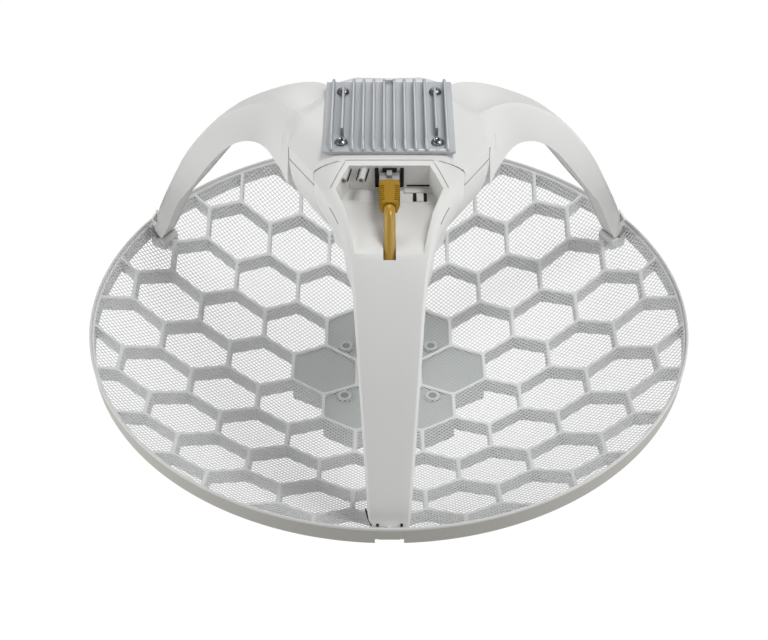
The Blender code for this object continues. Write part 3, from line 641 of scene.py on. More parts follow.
def build_ribs():
    """The moulded honeycomb: its rounded crests level with the mesh, and its walls under them in a darker
    copy of the grille plastic as painted shade.
    """
    bm, walls = bmesh.new(), bmesh.new()
    for centre in cell_centres():
        outer = cell_outline(centre, CELL, GRILLE_OUTER)
        if not outer or loop_area(outer) < LEAST_CELL:
            continue
        depth = HUB_DROP if is_hub_cell(centre) else RIB_DEPTH
        levels = rib_levels(centre, outer, depth)
        if not levels:
            bm.faces.new(rib_loop(bm, outer, 0.0))
            bm.faces.new(rib_loop(bm, outer, depth))
            continue
        middle = sum(outer, Vector((0, 0))) / len(outer)
        rings = [rib_loop(bm, *level) for level in levels[:-1]]
        sides = [rib_loop(walls, *level) for level in levels[-2:]]
        for first, second in zip(rings, rings[1:]):
            stitch(bm, first, second, middle)
        ring_faces(walls, sides)
        stitch(walls, rib_loop(walls, outer, depth), sides[1], middle)
    ring = [on_circle(GRILLE_OUTER, math.tau * k / GRILLE_STEPS) for k in range(GRILLE_STEPS)]
    ring_faces(walls, [rib_loop(walls, ring, drop) for drop in (0.0, RIB_DEPTH)])
    nodes = [f"grille_ribs_{k + 1}" for k in range(6)]
    finish_piece("grille_ribs", bm, GRILLE, nodes, 40.0, 0.01)
    finish_piece("grille_walls", walls, RIB_WALL_SHADED, nodes, 40.0, 0.01)


def clip_line(loop, normal, offset):
    """Both ends of the line normal . p = offset inside a convex loop."""
    ends = []
    for start, end in zip(loop, loop[1:] + loop[:1]):
        a, b = normal.dot(start) - offset, normal.dot(end) - offset
        if a * b < 0:
            ends.append(start.lerp(end, a / (a - b)))
    return ends if len(ends) == 2 else None


def wire_into(bm, start, end, drop):
    """One straight bar of the mesh, bent to the bowl, with four sides."""
    along = (end - start).normalized()
    across = Vector((-along.y, along.x)) * WIRE_WIDTH / 2
    count = max(1, round((end - start).length / WIRE_STEP))
    loops = []
    for k in range(count + 1):
        p = start.lerp(end, k / count)
        loop = []
        for side, low in ((-1, 0), (1, 0), (1, 1), (-1, 1)):
            q = p + across * side
            loop.append(bm.verts.new((q.x, q.y, bowl_height(p.x, p.y) - drop - low * WIRE_DEPTH)))
        loops.append(loop)
    skin(bm, loops)


def build_mesh():
    """The fine square mesh of every cell, in the six sectors of the CAD panels, and over the hub."""
    sectors = [bmesh.new() for k in range(7)]
    for centre in cell_centres():
        loop = cell_outline(centre, CELL - RIB_WIDTH * 0.8, GRILLE_OUTER - RIM_FLANGE * 0.6, 1)
        if len(loop) < 3 or loop_area(loop) < LEAST_MESH:
            continue
        azimuth = math.degrees(math.atan2(centre[1], centre[0])) % 360
        index = 6 if is_hub_cell(centre) else int(azimuth // 60)
        for turn, drop in WIRE_DROPS:
            normal = Vector(on_circle(1.0, math.radians(turn)))
            reach = [normal.dot(point) for point in loop]
            for k in range(math.ceil(min(reach) / WIRE_PITCH), math.floor(max(reach) / WIRE_PITCH) + 1):
                ends = clip_line(loop, normal, k * WIRE_PITCH)
                if ends and (ends[1] - ends[0]).length > WIRE_LEAST:
                    wire_into(sectors[index], ends[0], ends[1], drop * MM)
    for number, bm in enumerate(sectors[:6], 1):
        finish_piece(f"mesh_wires_{number}", bm, WIRES, [f"mesh_panel_{number}"], 30.0, 0.0001)
    finish_piece("hub_mesh", sectors[6], WIRES, (), 30.0, 0.0001)


def hub_vertex(bm, x, y):
    return bm.verts.new((x, y, bowl_height(x, y) - HUB_DROP + HUB_LIFT))


def build_hub():
    """The closed plate behind the seven middle cells, and the rings round its screw places."""
    bm = bmesh.new()
    for centre in cell_centres():
        if not is_hub_cell(centre):
            continue
        rings = []
        for share in (1.0, 0.66, 0.33):
            outline = [Vector(centre).lerp(q, share) for q in cell_outline(centre, CELL - 0.4 * MM, 1.0)]
            rings.append([hub_vertex(bm, *point) for point in outline])
        middle = hub_vertex(bm, *centre)
        under = [bm.verts.new(v.co - Vector((0, 0, HUB_PLATE))) for v in rings[0]]
        ring_faces(bm, [under] + rings)
        for a, b in zip(rings[-1], rings[-1][1:] + rings[-1][:1]):
            bm.faces.new((a, b, middle))
        bm.faces.new(under[::-1])
    finish_piece("hub_plate", bm, HUB, ["centre_plate"])
    for number, (x, y) in enumerate(scaled(BOSS_PLACES), 1):
        spot = (x, y, bowl_height(x, y))
        turned_piece(f"hub_ring_{number}", scaled(BOSS_RING), HUB, spot, 32, [f"hub_boss_{number}"])
        # The disc in each ring's hole is painted shade
        turned_piece(f"hub_hole_shade_{number}", scaled(BOSS_HOLE), PAINTED_SHADE, spot, 32)


def build_rim():
    """The round wall, with its rolled lip and the low notch for the cable."""
    inner, outer, top = RIM_INNER, RIM_OUTER, RIM_TOP
    lip = [(inner, top - 4.0 * MM), (inner + 0.1 * MM, top - 0.5 * MM), (inner + 0.6 * MM, top),
           (outer - 0.9 * MM, top), (outer - 0.25 * MM, top - 0.3 * MM), (outer, top - 1.0 * MM),
           (outer - 0.1 * MM, top - 1.6 * MM), (outer - 1.2 * MM, top - 2.0 * MM)]
    turned_piece("rim_lip", lip + lip[:1], RIM_LIP, (0, 0, VERTEX_Z), RIM_STEPS, ["rim_ring"])
    inner += 0.1 * MM
    low = top - RIM_HEIGHT
    profile = [(inner, low + 0.4 * MM), (inner, top - 1.9 * MM), (outer - 0.11 * MM, top - 1.7 * MM),
               (outer - 0.9 * MM, low + 0.3 * MM), (outer - 1.2 * MM, low), (inner + 0.1 * MM, low)]
    turns = [360 * k / RIM_STEPS for k in range(3, RIM_STEPS - 2)]
    for edge in (NOTCH_HALF, NOTCH_STEP):
        turns += [edge + 0.01, edge - 0.01, 360 - edge + 0.01, 360 - edge - 0.01]
    bm = bmesh.new()
    loops = []
    for turn in sorted(turns):
        off = min(turn, 360 - turn)
        rise = 0.0
        if off < NOTCH_HALF:
            rise = NOTCH_RISE if off < NOTCH_STEP else STEP_RISE
        loop = []
        for radius, height in profile:
            lift = rise if height < low + 1.0 * MM else 0.0
            spot = on_circle(radius, math.radians(turn - 90))
            loop.append(bm.verts.new((*spot, VERTEX_Z + height + lift)))
        loops.append(loop)
    ring_faces(bm, loops + [loops[0]])
    # The wall carries the darkened white plastic: painted shade
    finish_piece("rim_wall", bm, RIM_SHADED_WALL, ["rim_ring"], 28.0)


# The arms


def arm_frame(kind, radius):
    """Crest point, way down the flank, depth to the underside and half widths of an arm's section."""
    height = table if kind == "side" or radius > FRONT_CORNER else straight
    top = Vector((radius, height(CREST_HEIGHT[kind], radius)))
    way = Vector(on_circle(1.0, math.radians(table(ARM_LEAN, radius))))
    low, high = 2.0, 70.0
    for _ in range(40):
        reach = (low + high) / 2
        point = top + way * reach
        inside = point.y > table(UNDERSIDE[kind], point.x)
        low, high = (reach, high) if inside else (low, reach)
    half = straight if kind == "front" and radius < FRONT_STRAIGHT else table
    foot = (top + way * low).x if kind == "side" else radius
    return top, way, low, half(CREST_HALF[kind], radius), table(LOWER_HALF[kind], foot)


def flank_shape(share, radius):
    """Share of the way out at a share of the way down a flank, which leans more near its crest."""
    return 1 - (1 - share) ** table(FLANK_BEND, radius)


def side_top(radius, crest):
    """Offsets across a side arm's top, with their depth below the crest."""
    scoop = table(SCOOP, radius)
    return [(crest * share, scoop * (1 - share * share)) for share in SCOOP_SHARES]


def mirrored_loop(bm, turn, top, way, outside, inside):
    """A closed section from half profiles of (offset, depth), mirrored across the arm."""
    def points(profile):
        return profile + [(-off, down) for off, down in reversed(profile[:-1])]

    loop = []
    for off, down in points(outside) + points(inside)[::-1]:
        spot = top + way * down
        loop.append(bm.verts.new(turn @ mm(spot.x, off, spot.y)))
    return loop


def side_loop(bm, turn, radius):
    """One section of a side arm: flank, crest and scooped top, and the plate that closes its underside."""
    top, way, depth, crest, lower = arm_frame("side", radius)
    if radius < JOIN:
        top, depth, crest = top - Vector((0, ARM_TUCK)), depth - ARM_TUCK, crest - ARM_TUCK
    flank = []
    for share in (1.0, 0.85, 0.7, 0.55, 0.4, 0.25, 0.1):
        flank.append((crest + (lower - crest) * flank_shape(share, radius), depth * share))
    outside = flank + [(crest + 0.08, 0.45), (crest - 0.4, -0.02)] + side_top(radius, crest)[::-1]
    slit = SLIT_DEPTH if SLIT_START < radius < SLIT_END else PLATE_DEPTH
    lip = lower - ARM_LIP
    inside = [(lip, depth), (lip - 0.1, depth - slit), (lip - 1.0, depth - slit),
              (lip - 1.1, depth - PLATE_DEPTH), (0.0, depth - PLATE_DEPTH)]
    return mirrored_loop(bm, turn, top, way, outside, inside)


def build_side_arm(side):
    bm = bmesh.new()
    stations = [*SIDE_STATIONS, SLIT_END - 0.1, SLIT_END, 170, 176, 183, FOOT_RADIUS]
    skin(bm, [side_loop(bm, arm_turn(side), radius) for radius in stations])
    finish_piece(f"{side}_arm_shell", bm, WHITE, [f"{side}_arm"], 36.0)


def shoulder_half(radius, crest, lower, drop):
    """The front arm's shoulder, from the flank's upper end to the crest, as offset and depth."""
    power = 1.4 if radius < 58 else 1.6
    points = []
    for k in range(SHOULDER_STEPS + 1):
        turn = math.radians(90 * k / SHOULDER_STEPS)
        across, down = math.cos(turn) ** (2 / power), 1 - math.sin(turn) ** (2 / power)
        points.append((crest + (lower - crest) * across, drop * down))
    return points


def front_loop(bm, turn, radius):
    """One section of the front arm, with the bay sunk into it where it is open."""
    top, way, depth, crest, lower = arm_frame("front", radius)
    drop = min(table(FRONT_DROP, radius), depth * 0.5)
    foot = lower - 0.4 - max(0.0, (100 - radius) * 0.18)
    outside = [(foot, depth), (foot + 0.3, depth * 0.8), (lower, depth * 0.5)]
    outside += shoulder_half(radius, crest, lower, drop)
    ledge = floor = 0.0
    if BAY_START - 0.01 < radius < BAY_END - 0.01:
        ledge = max(top.y - straight(BAY_LEDGE, radius), 0.0)
        floor = max(top.y - straight(BAY_CHANNEL, radius), ledge)
    opening = min(straight(BAY_OPENING, max(radius, BAY_START)), crest - BAY_BAND)
    channel = min(CHANNEL_HALF, opening - 0.3)
    outside += [(opening + 0.8, 0.0), (opening + 0.2, 0.02), (opening, min(0.3, ledge))]
    outside += [(opening - 0.05, ledge * 0.95), (opening - 0.2, ledge), (channel + 0.1, ledge)]
    outside += [(channel, max(ledge, floor * 0.2 + ledge * 0.8)), (channel - 0.2, floor), (0.0, floor)]
    ceiling = floor + FRONT_WALL
    inside = [(foot - FRONT_WALL, depth), (lower - FRONT_WALL, max(depth * 0.6, ceiling)),
              (max(opening + 0.8, crest - 2.0), max(drop + FRONT_WALL, ceiling)), (opening * 0.6, ceiling),
              (0.0, ceiling)]
    return mirrored_loop(bm, turn, top, way, outside, inside)


def build_front_arm():
    """The front arm with the open bay sunk into its upper end."""
    bm = bmesh.new()
    skin(bm, [front_loop(bm, arm_turn("front"), radius) for radius in FRONT_STATIONS])
    finish_piece("front_arm_shell", bm, WHITE, ["front_arm", "port_bay"], 30.0)


def build_sockets():
    """The rounded seats under the arms' feet."""
    for side, (low, half) in SEATS.items():
        bm = bmesh.new()
        block_into(bm, (SEAT_RUN[0], -half, low), (SEAT_RUN[1], half, SEAT_TOP), 1.6, arm_turn(side))
        finish_piece(f"{side}_arm_seat", bm, GRILLE, [f"{side}_arm_socket"], 30.0)


def foot_points(side, corners):
    """Corners beside a side arm's foot, on the side that faces the front arm."""
    return [arm_turn(side) @ mm(along, NEAR_SIDE[side] * off, height) for along, off, height in corners]


def plate_into(bm, side, corners):
    """A thin plate beside a side arm's foot."""
    faces = []
    for deep in (0.0, FOOT_PLATE):
        sunk = [(along, off - deep, height - deep) for along, off, height in corners]
        faces.append([bm.verts.new(point) for point in foot_points(side, sunk)])
    skin(bm, faces)


def build_foot_marks():
    """The slit and the two holes at the front arm's foot, painted black as their shade, and at each side
    arm's the painted shadow line, recess and gap, and the white ear.
    """
    bm = bmesh.new()
    # The holes and slit are black blocks: painted shade
    for x in FRONT_HOLES:
        block_into(bm, (x - 0.75, -189.5, 54.5), (x + 0.75, -188.2, 55.9), 0.1)
    tube_into(bm, [mm(*point) for point in FRONT_SLIT], 0.45 * MM)
    finish_piece("front_foot_shade", bm, BLACK)
    bm = bmesh.new()
    # Each side's line, recess plate and gap are painted shadow in the shade grey
    for side in NEAR_SIDE:
        tube_into(bm, foot_points(side, FOOT_LINE), 0.3 * MM)
        plate_into(bm, side, FOOT_RECESS)
        tube_into(bm, foot_points(side, FOOT_GAP), 0.8 * MM)
    finish_piece("side_foot_shadows", bm, PAINTED_SHADE)
    for side in NEAR_SIDE:
        bm = bmesh.new()
        plate_into(bm, side, FOOT_EAR)
        finish_piece(f"{side}_foot_ear", bm, WHITE)


# The head


def flank_rows(station):
    """Points down the head's flank beside a side arm, from the crest to the seam, as offset and height."""
    share = (station - STEP_RADIUS) / (JOIN - STEP_RADIUS)
    ease = share * share * (3 - 2 * share)
    if station < STEP_FOOT:
        along = (station - STEP_RADIUS) / (STEP_FOOT - STEP_RADIUS)
        crest = blend(SHOULDER[0][0], table(CREST_HALF["side"], STEP_FOOT), along)
        height = blend(SHOULDER[0][1], table(CREST_HEIGHT["side"], STEP_FOOT), along)
    else:
        crest, height = table(CREST_HALF["side"], station), table(CREST_HEIGHT["side"], station)
    seam = straight(SEAM_HALF, station)
    rows = []
    count = len(SHOULDER) - 1
    for index, (off, z) in enumerate(SHOULDER):
        dome_out = (off - SHOULDER[0][0]) / (SHOULDER[-1][0] - SHOULDER[0][0])
        dome_down = (SHOULDER[0][1] - z) / (SHOULDER[0][1] - SEAM_Z)
        down = blend(dome_down, index / count, ease)
        reached = (height - SEAM_Z) / (height - table(UNDERSIDE["side"], JOIN))
        out = blend(dome_out, flank_shape(index / count * reached, JOIN) / flank_shape(reached, JOIN), ease)
        rows.append((crest + (seam - crest) * out, height - (height - SEAM_Z) * down))
    return rows


def top_row(station, crest, height):
    """Points across the top from the arm's middle to its crest, as distance along, offset and height."""
    if station < STEP_FOOT + 0.1:
        along = (station - STEP_RADIUS) / (STEP_FOOT - STEP_RADIUS)
        near = blend(STEP_RADIUS, STEP_FOOT_MIDDLE[0], along)
        high = blend(PLATEAU, STEP_FOOT_MIDDLE[1], along)
        return [(blend(near, station, s), crest * s, blend(high, height, s * s)) for s in SCOOP_SHARES]
    return [(station, off, height - down) for off, down in side_top(station, crest)]


def head_half(bm, turn, flip, with_step):
    """One sixth of the cap: its plateau, the step to the arm, the flank beside it and half a valley wall."""
    def put(along, off, height):
        return bm.verts.new(turn @ mm(along, off * flip, height))

    flank = {station: [put(station, off, z) for off, z in flank_rows(station)] for station in HEAD_STATIONS}
    valley_x, valley_y = 0.5, math.sqrt(3) / 2
    columns = [flank[STEP_RADIUS]]
    for column in range(1, VALLEY_STEPS + 1):
        share = column / VALLEY_STEPS
        line = []
        for (off, z), (far, far_z) in zip(SHOULDER, VALLEY_LINE):
            line.append(put(blend(STEP_RADIUS, far * valley_x, share), blend(off, far * valley_y, share),
                            blend(z, far_z, share)))
        columns.append(line)
    ring_faces(bm, columns, False)
    fan = [column[0] for column in columns]
    if with_step:
        rows = []
        for station in HEAD_STATIONS:
            off, z = flank_rows(station)[0]
            rows.append([put(*point) for point in top_row(station, off, z)] + [flank[station][0]])
        ring_faces(bm, rows, False)
        ring_faces(bm, [flank[station] for station in HEAD_STATIONS], False)
        fan = rows[0][:-1] + fan
        bm.faces.new(rows[-1] + flank[JOIN][1:] + [put(JOIN, 0.0, SEAM_Z)])
    else:
        fan.insert(0, put(STEP_RADIUS, 0.0, PLATEAU - 0.1))
        fan.insert(1, put(STEP_RADIUS, SHOULDER[0][0] * 0.6, PLATEAU - 0.15))
    inner = [bm.verts.new(vertex.co.lerp(mm(0, 0, PLATEAU), 0.12)) for vertex in fan]
    ring_faces(bm, [fan, inner], False)
    middle = bm.verts.new(mm(0, 0, PLATEAU))
    for a, b in zip(inner, inner[1:]):
        bm.faces.new((a, b, middle))


def build_head_cap():
    bm = bmesh.new()
    for side in ARM_ANGLES:
        for flip in (1, -1):
            head_half(bm, arm_turn(side), flip, side != "front")
    finish_piece("head_cap", bm, WHITE, ["head_cover"], 26.0, 0.02)


def off_arm(turn):
    """Degrees between a direction and the nearest arm."""
    to_arm = (turn - 30) % 120
    return min(to_arm, 120 - to_arm)


def seam_reach(turn):
    """Distance from the axis to the head's outline at its seam, in a direction."""
    from_arm = off_arm(turn)
    if from_arm >= 45:
        return VALLEY / math.cos(math.radians(60 - from_arm))
    if from_arm <= SEAM_END:
        return JOIN / math.cos(math.radians(from_arm))
    low, high = STEP_RADIUS, JOIN
    for _ in range(30):
        along = (low + high) / 2
        here = math.degrees(math.atan2(straight(SEAM_HALF, along), along))
        low, high = (along, high) if here > from_arm else (low, along)
    return math.hypot(along, straight(SEAM_HALF, along))


def build_head_body():
    """The lower shell, from the cap's seam in to the neck."""
    special = [arm + side * turn for arm in (30, 150, 270) for side in (-1, 1) for turn in (45.0, SEAM_END)]
    turns = sorted({round(t % 360, 3) for t in [2.5 * k for k in range(144)] + special})
    bm = bmesh.new()
    rings = []
    for share, height in BODY_LEVELS:
        ring = []
        for turn in turns:
            from_arm = off_arm(turn)
            neck = NECK_ARM + from_arm * 0.1
            if from_arm > 42:
                neck = NECK_VALLEY / math.cos(math.radians(60 - from_arm))
            kept = min(1.0, share * 1.5 + 0.02) if from_arm < 24 else share
            reach = blend(neck, seam_reach(turn), kept)
            ring.append(bm.verts.new(mm(*on_circle(reach, math.radians(turn)), height)))
        rings.append(ring)
    skin(bm, rings)
    finish_piece("head_body", bm, WHITE, ["head_shell"], 40.0)


def build_seams():
    """Painted shadow lines where the cap meets the lower shell and the front arm, and along the slits in the
    front arm's flanks.
    """
    bm = bmesh.new()
    for angle in (90, 210, 330):
        turn = Matrix.Rotation(math.radians(angle), 4, "Z")
        line = [(-VALLEY_HALF, 194.6), (-VALLEY_HALF, SEAM_Z), (VALLEY_HALF, SEAM_Z), (VALLEY_HALF, 194.6)]
        tube_into(bm, [turn @ mm(VALLEY, off, z) for off, z in line], SEAM_RADIUS)
    for side in (-1, 1):
        tube_into(bm, [mm(side * off, -STEP_RADIUS, z) for off, z in SHOULDER[2:6]], SEAM_RADIUS)
        top_line = [mm(0.0, -STEP_RADIUS, SHOULDER[0][1] + 0.1)]
        for radius in (STEP_RADIUS + 0.1, 48.0, 53.0, 58.0, 62.0, FRONT_CORNER):
            top, way, depth, crest, lower = arm_frame("front", radius)
            top_line.append(mm(side * crest, -radius, top.y))
        tube_into(bm, top_line, SEAM_RADIUS * 0.9)
        slit = []
        for radius in (73.0, 77.0, 81.0, 85.0):
            top, way, depth, crest, lower = arm_frame("front", radius)
            slit.append(mm(side * (lower - 0.1), -radius, top.y - table(FRONT_DROP, radius)))
        tube_into(bm, slit, SEAM_RADIUS * 1.4)
    finish_piece("cap_seam_shadows", bm, PAINTED_SHADE, (), 60.0)


# The heat sink


def fin_into(bm, x, profile):
    """One fin, rounded along its top."""
    loops = []
    for y, height in profile:
        top = max(height, FIN_LEAST)
        outline = [(-0.95, FIN_FOOT), (0.95, FIN_FOOT), (0.8, top - 0.25), (0.45, top), (-0.45, top),
                   (-0.8, top - 0.25)]
        loops.append([bm.verts.new(mm(x + across, y, SINK_Z + up)) for across, up in outline])
    skin(bm, loops)


def build_heat_sink():
    """The finned block with painted shade on its short fins' front ends, its tab and notches, and its four
    screws.
    """
    bm = bmesh.new()
    block_into(bm, (-38.2, -38.6, SINK_Z + 0.9), (38.2, 38.4, SINK_Z + 2.5), 0.3)
    block_into(bm, (-37.0, -37.4, SINK_Z - 0.1), (37.0, 37.4, SINK_Z + 1.2), 0.0)
    for index in range(FIN_COUNT):
        step = index - (FIN_COUNT - 1) / 2
        fin_into(bm, step * FIN_PITCH, SHORT_FIN if abs(step) == SHORT_PLACE else LONG_FIN)
    finish_piece("finned_sink", bm, ALLOY, ["heat_sink"], 30.0)
    # Grey strips on the short fins' front ends: painted shade
    ends = []
    for side in (-1, 1):
        x = side * SHORT_PLACE * FIN_PITCH
        ends.append(((x - 0.9, -22.8, SINK_Z + 3.2), (x + 0.9, -22.5, SINK_Z + 8.3), 0.1))
    block_piece("fin_end_shade", PAINTED_SHADE, ends)
    block_piece("sink_tab", WHITE, [((-3.3, 38.0, SINK_Z), (3.6, 40.5, SINK_Z + 4.2), 0.8)])
    bm = bmesh.new()
    for index in range(4):
        place = mm((index + 2) * FIN_PITCH + 0.3, -38.5, SINK_Z + 1.7)
        prism_into(bm, NOTCH_OUTLINE, 1.8, Matrix.Translation(place) @ Matrix.Scale(MM, 4))
    finish_piece("sink_notches", bm, WHITE)
    for number, (x, y) in enumerate(SCREW_PLACES, 1):
        place = mm(x, y, SINK_Z + SCREW_SEAT)
        turned_piece(f"pan_screw_{number}", scaled(SCREW_HEAD), STEEL, place, 32, [f"sink_screw_{number}"])


# The port bay


def build_jack():
    """The jack's two cheeks, floor and back, the clear plug with its latch, and a black block of painted
    shade in the gap over the latch.
    """
    block_piece("jack_housing", BLACK, [
        ((-8.3, -49.5, 189.0), (-6.2, -35.0, 202.0), 0.15),
        ((6.2, -49.5, 189.0), (8.3, -35.0, 202.0), 0.15),
        ((-8.3, -49.5, 189.0), (8.3, -35.0, 190.2), 0.1),
        ((-8.3, -36.0, 189.0), (8.3, -35.0, 202.0), 0.1)], ["network_jack"])
    block_piece("modular_plug", CLEAR, [
        ((-5.85, -57.6, 192.8), (5.85, -38.0, 199.4), 0.4),
        ((-1.6, -55.0, 199.2), (1.6, -40.0, 201.2), 0.3)], ["network_plug"])
    # The black block over the latch is painted shade
    block_piece("latch_gap_shade", BLACK, [((-4.0, -49.6, 199.4), (4.2, -48.4, 202.0), 0.1)])


def build_pegs():
    """The two hollow pegs, with a black strip of painted shadow along both sides of each."""
    length = PEG_LENGTH
    profile = [(0.0, 0.0), (PEG_RADIUS, 0.0), (PEG_RADIUS, length - 0.3), (PEG_RADIUS - 0.3, length),
               (PEG_RADIUS - 0.75, length), (PEG_RADIUS - 0.85, length - PEG_BORE), (0.0, length - PEG_BORE)]
    near, far, deep = PEG_SHADOW_STRIP
    for number, x in enumerate(PEG_PLACES, 1):
        place = Matrix.Translation(mm(x, PEG_Y, PEG_Z)) @ Matrix.Rotation(math.radians(-PEG_TURN), 4, "Z")
        along = place @ Matrix.Rotation(math.radians(90), 4, "X")
        node = f"light_peg_{number}"
        turned_piece(f"light_pipe_{number}", scaled(profile), PEG, (0, 0, 0), 24, [node], along)
        # Black strips beside each peg: painted shadow
        bm = bmesh.new()
        for side in (-1, 1):
            outline = [(side * near, 0.0), (side * far, 0.0), (side * far, deep), (side * near, deep)]
            prism_into(bm, scaled(outline), (length + 0.6) * MM, along)
        finish_piece(f"peg_shadows_{number}", bm, BLACK)


def build_bay_details():
    """The low ledge beside the jack, a black strip of painted shadow along its back, and painted shade in its
    two slots.
    """
    block_piece("bay_ledge", WHITE, [
        ((8.6, -53.2, 186.6), (24.4, -48.5, 188.2), 0.3),
        ((15.6, -61.0, 186.4), (19.6, -53.4, 188.0), 0.2)], ["slot_block"])
    # Black strips along the ledge's back and in its slots: painted shade
    dark = [((10.1, -49.1, 189.3), (25.6, -48.4, 190.2), 0.1)]
    dark += [((x - 0.95, -61.0, 186.3), (x + 0.95, -53.0, 187.5), 0.1) for x in SLOT_PLACES]
    block_piece("bay_slot_shade", BLACK, dark)


def boot_half(y):
    """Half width and half height of the boot at a distance towards the front, in millimetres."""
    share = min(max((-72.0 - y) / 8.0, 0.0), 1.0)
    return blend(6.0, 4.3, share ** 1.5), blend(4.2, 4.1, share)


def boot_loop(bm, y, grow):
    """One rounded square section of the boot, which grows or shrinks at its sides alone."""
    half_x, half_z = boot_half(y)
    loop = []
    for k in range(BOOT_SIDES):
        cx, cz = on_circle(1.0, math.tau * k / BOOT_SIDES)
        across, up = math.copysign(abs(cx) ** BOOT_SQUARE, cx), math.copysign(abs(cz) ** BOOT_SQUARE, cz)
        cut = grow * min(max((abs(across) - 0.5) / 0.12, 0.0), 1.0)
        loop.append(bm.verts.new(mm((half_x + cut) * across, y, BOOT_Z + (half_z + cut) * up)))
    return loop


def build_boot():
    """The plug's boot: a square sleeve with ribs across its sides, narrowing to the cable."""
    bm = bmesh.new()
    stations = [*BOOT_FRONT]
    for k in range(BOOT_RIBS):
        start = -BOOT_RIB_START - BOOT_RIB_PITCH * k
        stations += [(start - further, grow) for further, grow in BOOT_RIB]
    skin(bm, [boot_loop(bm, y, grow) for y, grow in [*stations, *BOOT_END]])
    # The boot carries the darkened ochre plastic: painted shade
    finish_piece("cable_boot", bm, BOOT_SHADED, ["plug_boot"], 35.0)


def route_point(route, share):
    """A point on the smooth curve through the route's points."""
    place_on = share * (len(route) - 1)
    index = min(int(place_on), len(route) - 2)
    t = place_on - index
    a, b, c, d = [route[min(max(index + step, 0), len(route) - 1)] for step in (-1, 0, 1, 2)]
    bend = (2 * a - 5 * b + 4 * c - d) * t ** 2 + (3 * b - a - 3 * c + d) * t ** 3
    return (2 * b + (c - a) * t + bend) / 2


def build_cable():
    """The round lead, from the boot down to the notch."""
    route = [mm(*point) for point in CABLE_ROUTE]
    curve = bpy.data.curves.new("cable", "CURVE")
    curve.dimensions = "3D"
    curve.bevel_depth = CABLE_RADIUS * MM
    curve.bevel_resolution = 6
    curve.use_fill_caps = True
    spline = curve.splines.new("POLY")
    spline.points.add(CABLE_POINTS - 1)
    for index, point in enumerate(spline.points):
        point.co = (*route_point(route, index / (CABLE_POINTS - 1)), 1)
    curve.materials.append(OCHRE)
    cable = add_object("jacketed_cable", curve)
    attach(cable, "root")
    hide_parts("data_cable")


# The surroundings


def floor_glow(nodes):
    """The light the floor gives, by its distance from the axis and more towards both sides."""
    place = nodes.new("ShaderNodeTexCoord")
    distance = nodes.new("ShaderNodeVectorMath")
    distance.operation = "LENGTH"
    share = nodes.new("ShaderNodeMapRange")
    set_inputs(share, {"From Max": FLOOR_HALF})
    zones = nodes.new("ShaderNodeValToRGB")
    stops = zones.color_ramp.elements
    zones.color_ramp.interpolation = "CONSTANT"
    stops.remove(stops[1])
    for index, (radius, glow) in enumerate(FLOOR_ZONES):
        stop = stops.new(radius / FLOOR_HALF) if index else stops[0]
        stop.color = (glow, glow, glow, 1)
    lit = nodes.new("ShaderNodeEmission")
    join(place, "Object", distance, "Vector")
    join(distance, "Value", share, "Value")
    join(share, "Result", zones, "Fac")
    join(zones, "Color", lit, "Color")
    parts = nodes.new("ShaderNodeSeparateXYZ")
    aside = nodes.new("ShaderNodeMath")
    aside.operation = "ABSOLUTE"
    gain = nodes.new("ShaderNodeMapRange")
    set_inputs(gain, {"From Min": FLOOR_SIDES[0], "From Max": FLOOR_SIDES[1],
                      "To Min": FLOOR_GLOW[0], "To Max": FLOOR_GLOW[1]})
    join(place, "Object", parts, "Vector")
    join(parts, "X", aside, "Value")
    join(aside, "Value", gain, "Value")
    join(gain, "Result", lit, "Strength")
    return lit


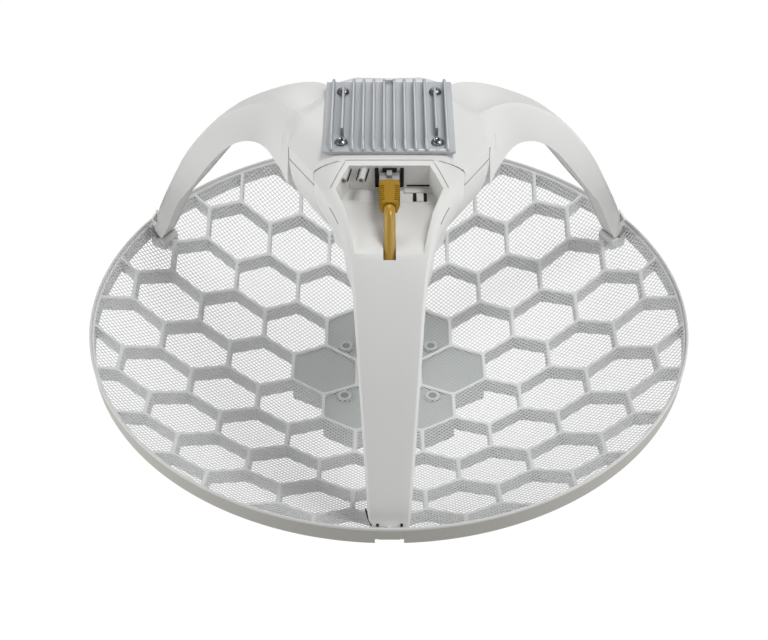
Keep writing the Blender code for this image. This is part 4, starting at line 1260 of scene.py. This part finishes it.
def build_stage():
    """The flat floor, which is seen as plain white."""
    bm = bmesh.new()
    bmesh.ops.create_grid(bm, x_segments=1, y_segments=1, size=FLOOR_HALF)
    mesh = bpy.data.meshes.new("floor")
    bm.to_mesh(mesh)
    bm.free()
    floor = add_object("floor", mesh)
    look = bpy.data.materials.new("pale_floor")
    look.use_nodes = True
    nodes = look.node_tree.nodes
    lit = floor_glow(nodes)
    shown = nodes.new("ShaderNodeEmission")
    set_inputs(shown, {"Color": (1, 1, 1, 1), "Strength": FLOOR_SEEN})
    path = nodes.new("ShaderNodeLightPath")
    mix = nodes.new("ShaderNodeMixShader")
    join(path, "Is Camera Ray", mix, "Fac")
    join(lit, "Emission", mix, 1)
    join(shown, "Emission", mix, 2)
    join(mix, "Shader", nodes["Material Output"], "Surface")
    mesh.materials.append(look)


def build_light():
    """The lamps, and a world that is white to the camera alone."""
    world = bpy.data.worlds.new("studio")
    world.use_nodes = True
    background = world.node_tree.nodes["Background"]
    set_inputs(background, {"Color": (1.0, 1.0, 1.0, 1)})
    path = world.node_tree.nodes.new("ShaderNodeLightPath")
    join(path, "Is Camera Ray", background, "Strength")
    bpy.context.scene.world = world
    for name, (azimuth, height, size, watts) in LAMPS.items():
        data = bpy.data.lights.new(name, "AREA")
        data.shape = "DISK"
        data.size = size
        data.energy = watts
        lamp = add_object(name, data)
        tilt = math.radians(height)
        place = LAMP_REACH * Vector((*on_circle(math.cos(tilt), math.radians(azimuth)), math.sin(tilt)))
        lamp.location = place
        lamp.rotation_euler = (Vector(LAMP_TARGET) - place).to_track_quat("-Z", "Y").to_euler()
    bpy.context.scene.view_settings.view_transform = "Standard"


def build_camera():
    data = bpy.data.cameras.new("camera")
    data.lens = FOCAL_LENGTH
    data.sensor_width = SENSOR
    data.clip_end = 20
    camera = add_object("camera", data)
    camera.location = CAMERA_PLACE
    camera.rotation_euler = (math.radians(90 - CAMERA_PITCH), 0, 0)
    bpy.context.scene.camera = camera


def dress_frame():
    """Finishes for the CAD nodes that stay."""
    looks = {slot: look for look, slot in reversed(SLOTS.items())}
    slots = {row["node"]: row["material_slot"] for row in frame["record"]["subparts"]}
    for name, obj in frame["nodes"].items():
        obj.data.materials.clear()
        obj.data.materials.append(looks[slots[name]])


build_camera()
build_stage()
build_light()
dress_frame()
build_ribs()
build_mesh()
build_hub()
build_rim()
build_side_arm("left")
build_side_arm("right")
build_front_arm()
build_sockets()
build_foot_marks()
build_head_cap()
build_head_body()
build_seams()
build_heat_sink()
build_jack()
build_pegs()
build_bay_details()
build_boot()
build_cable()
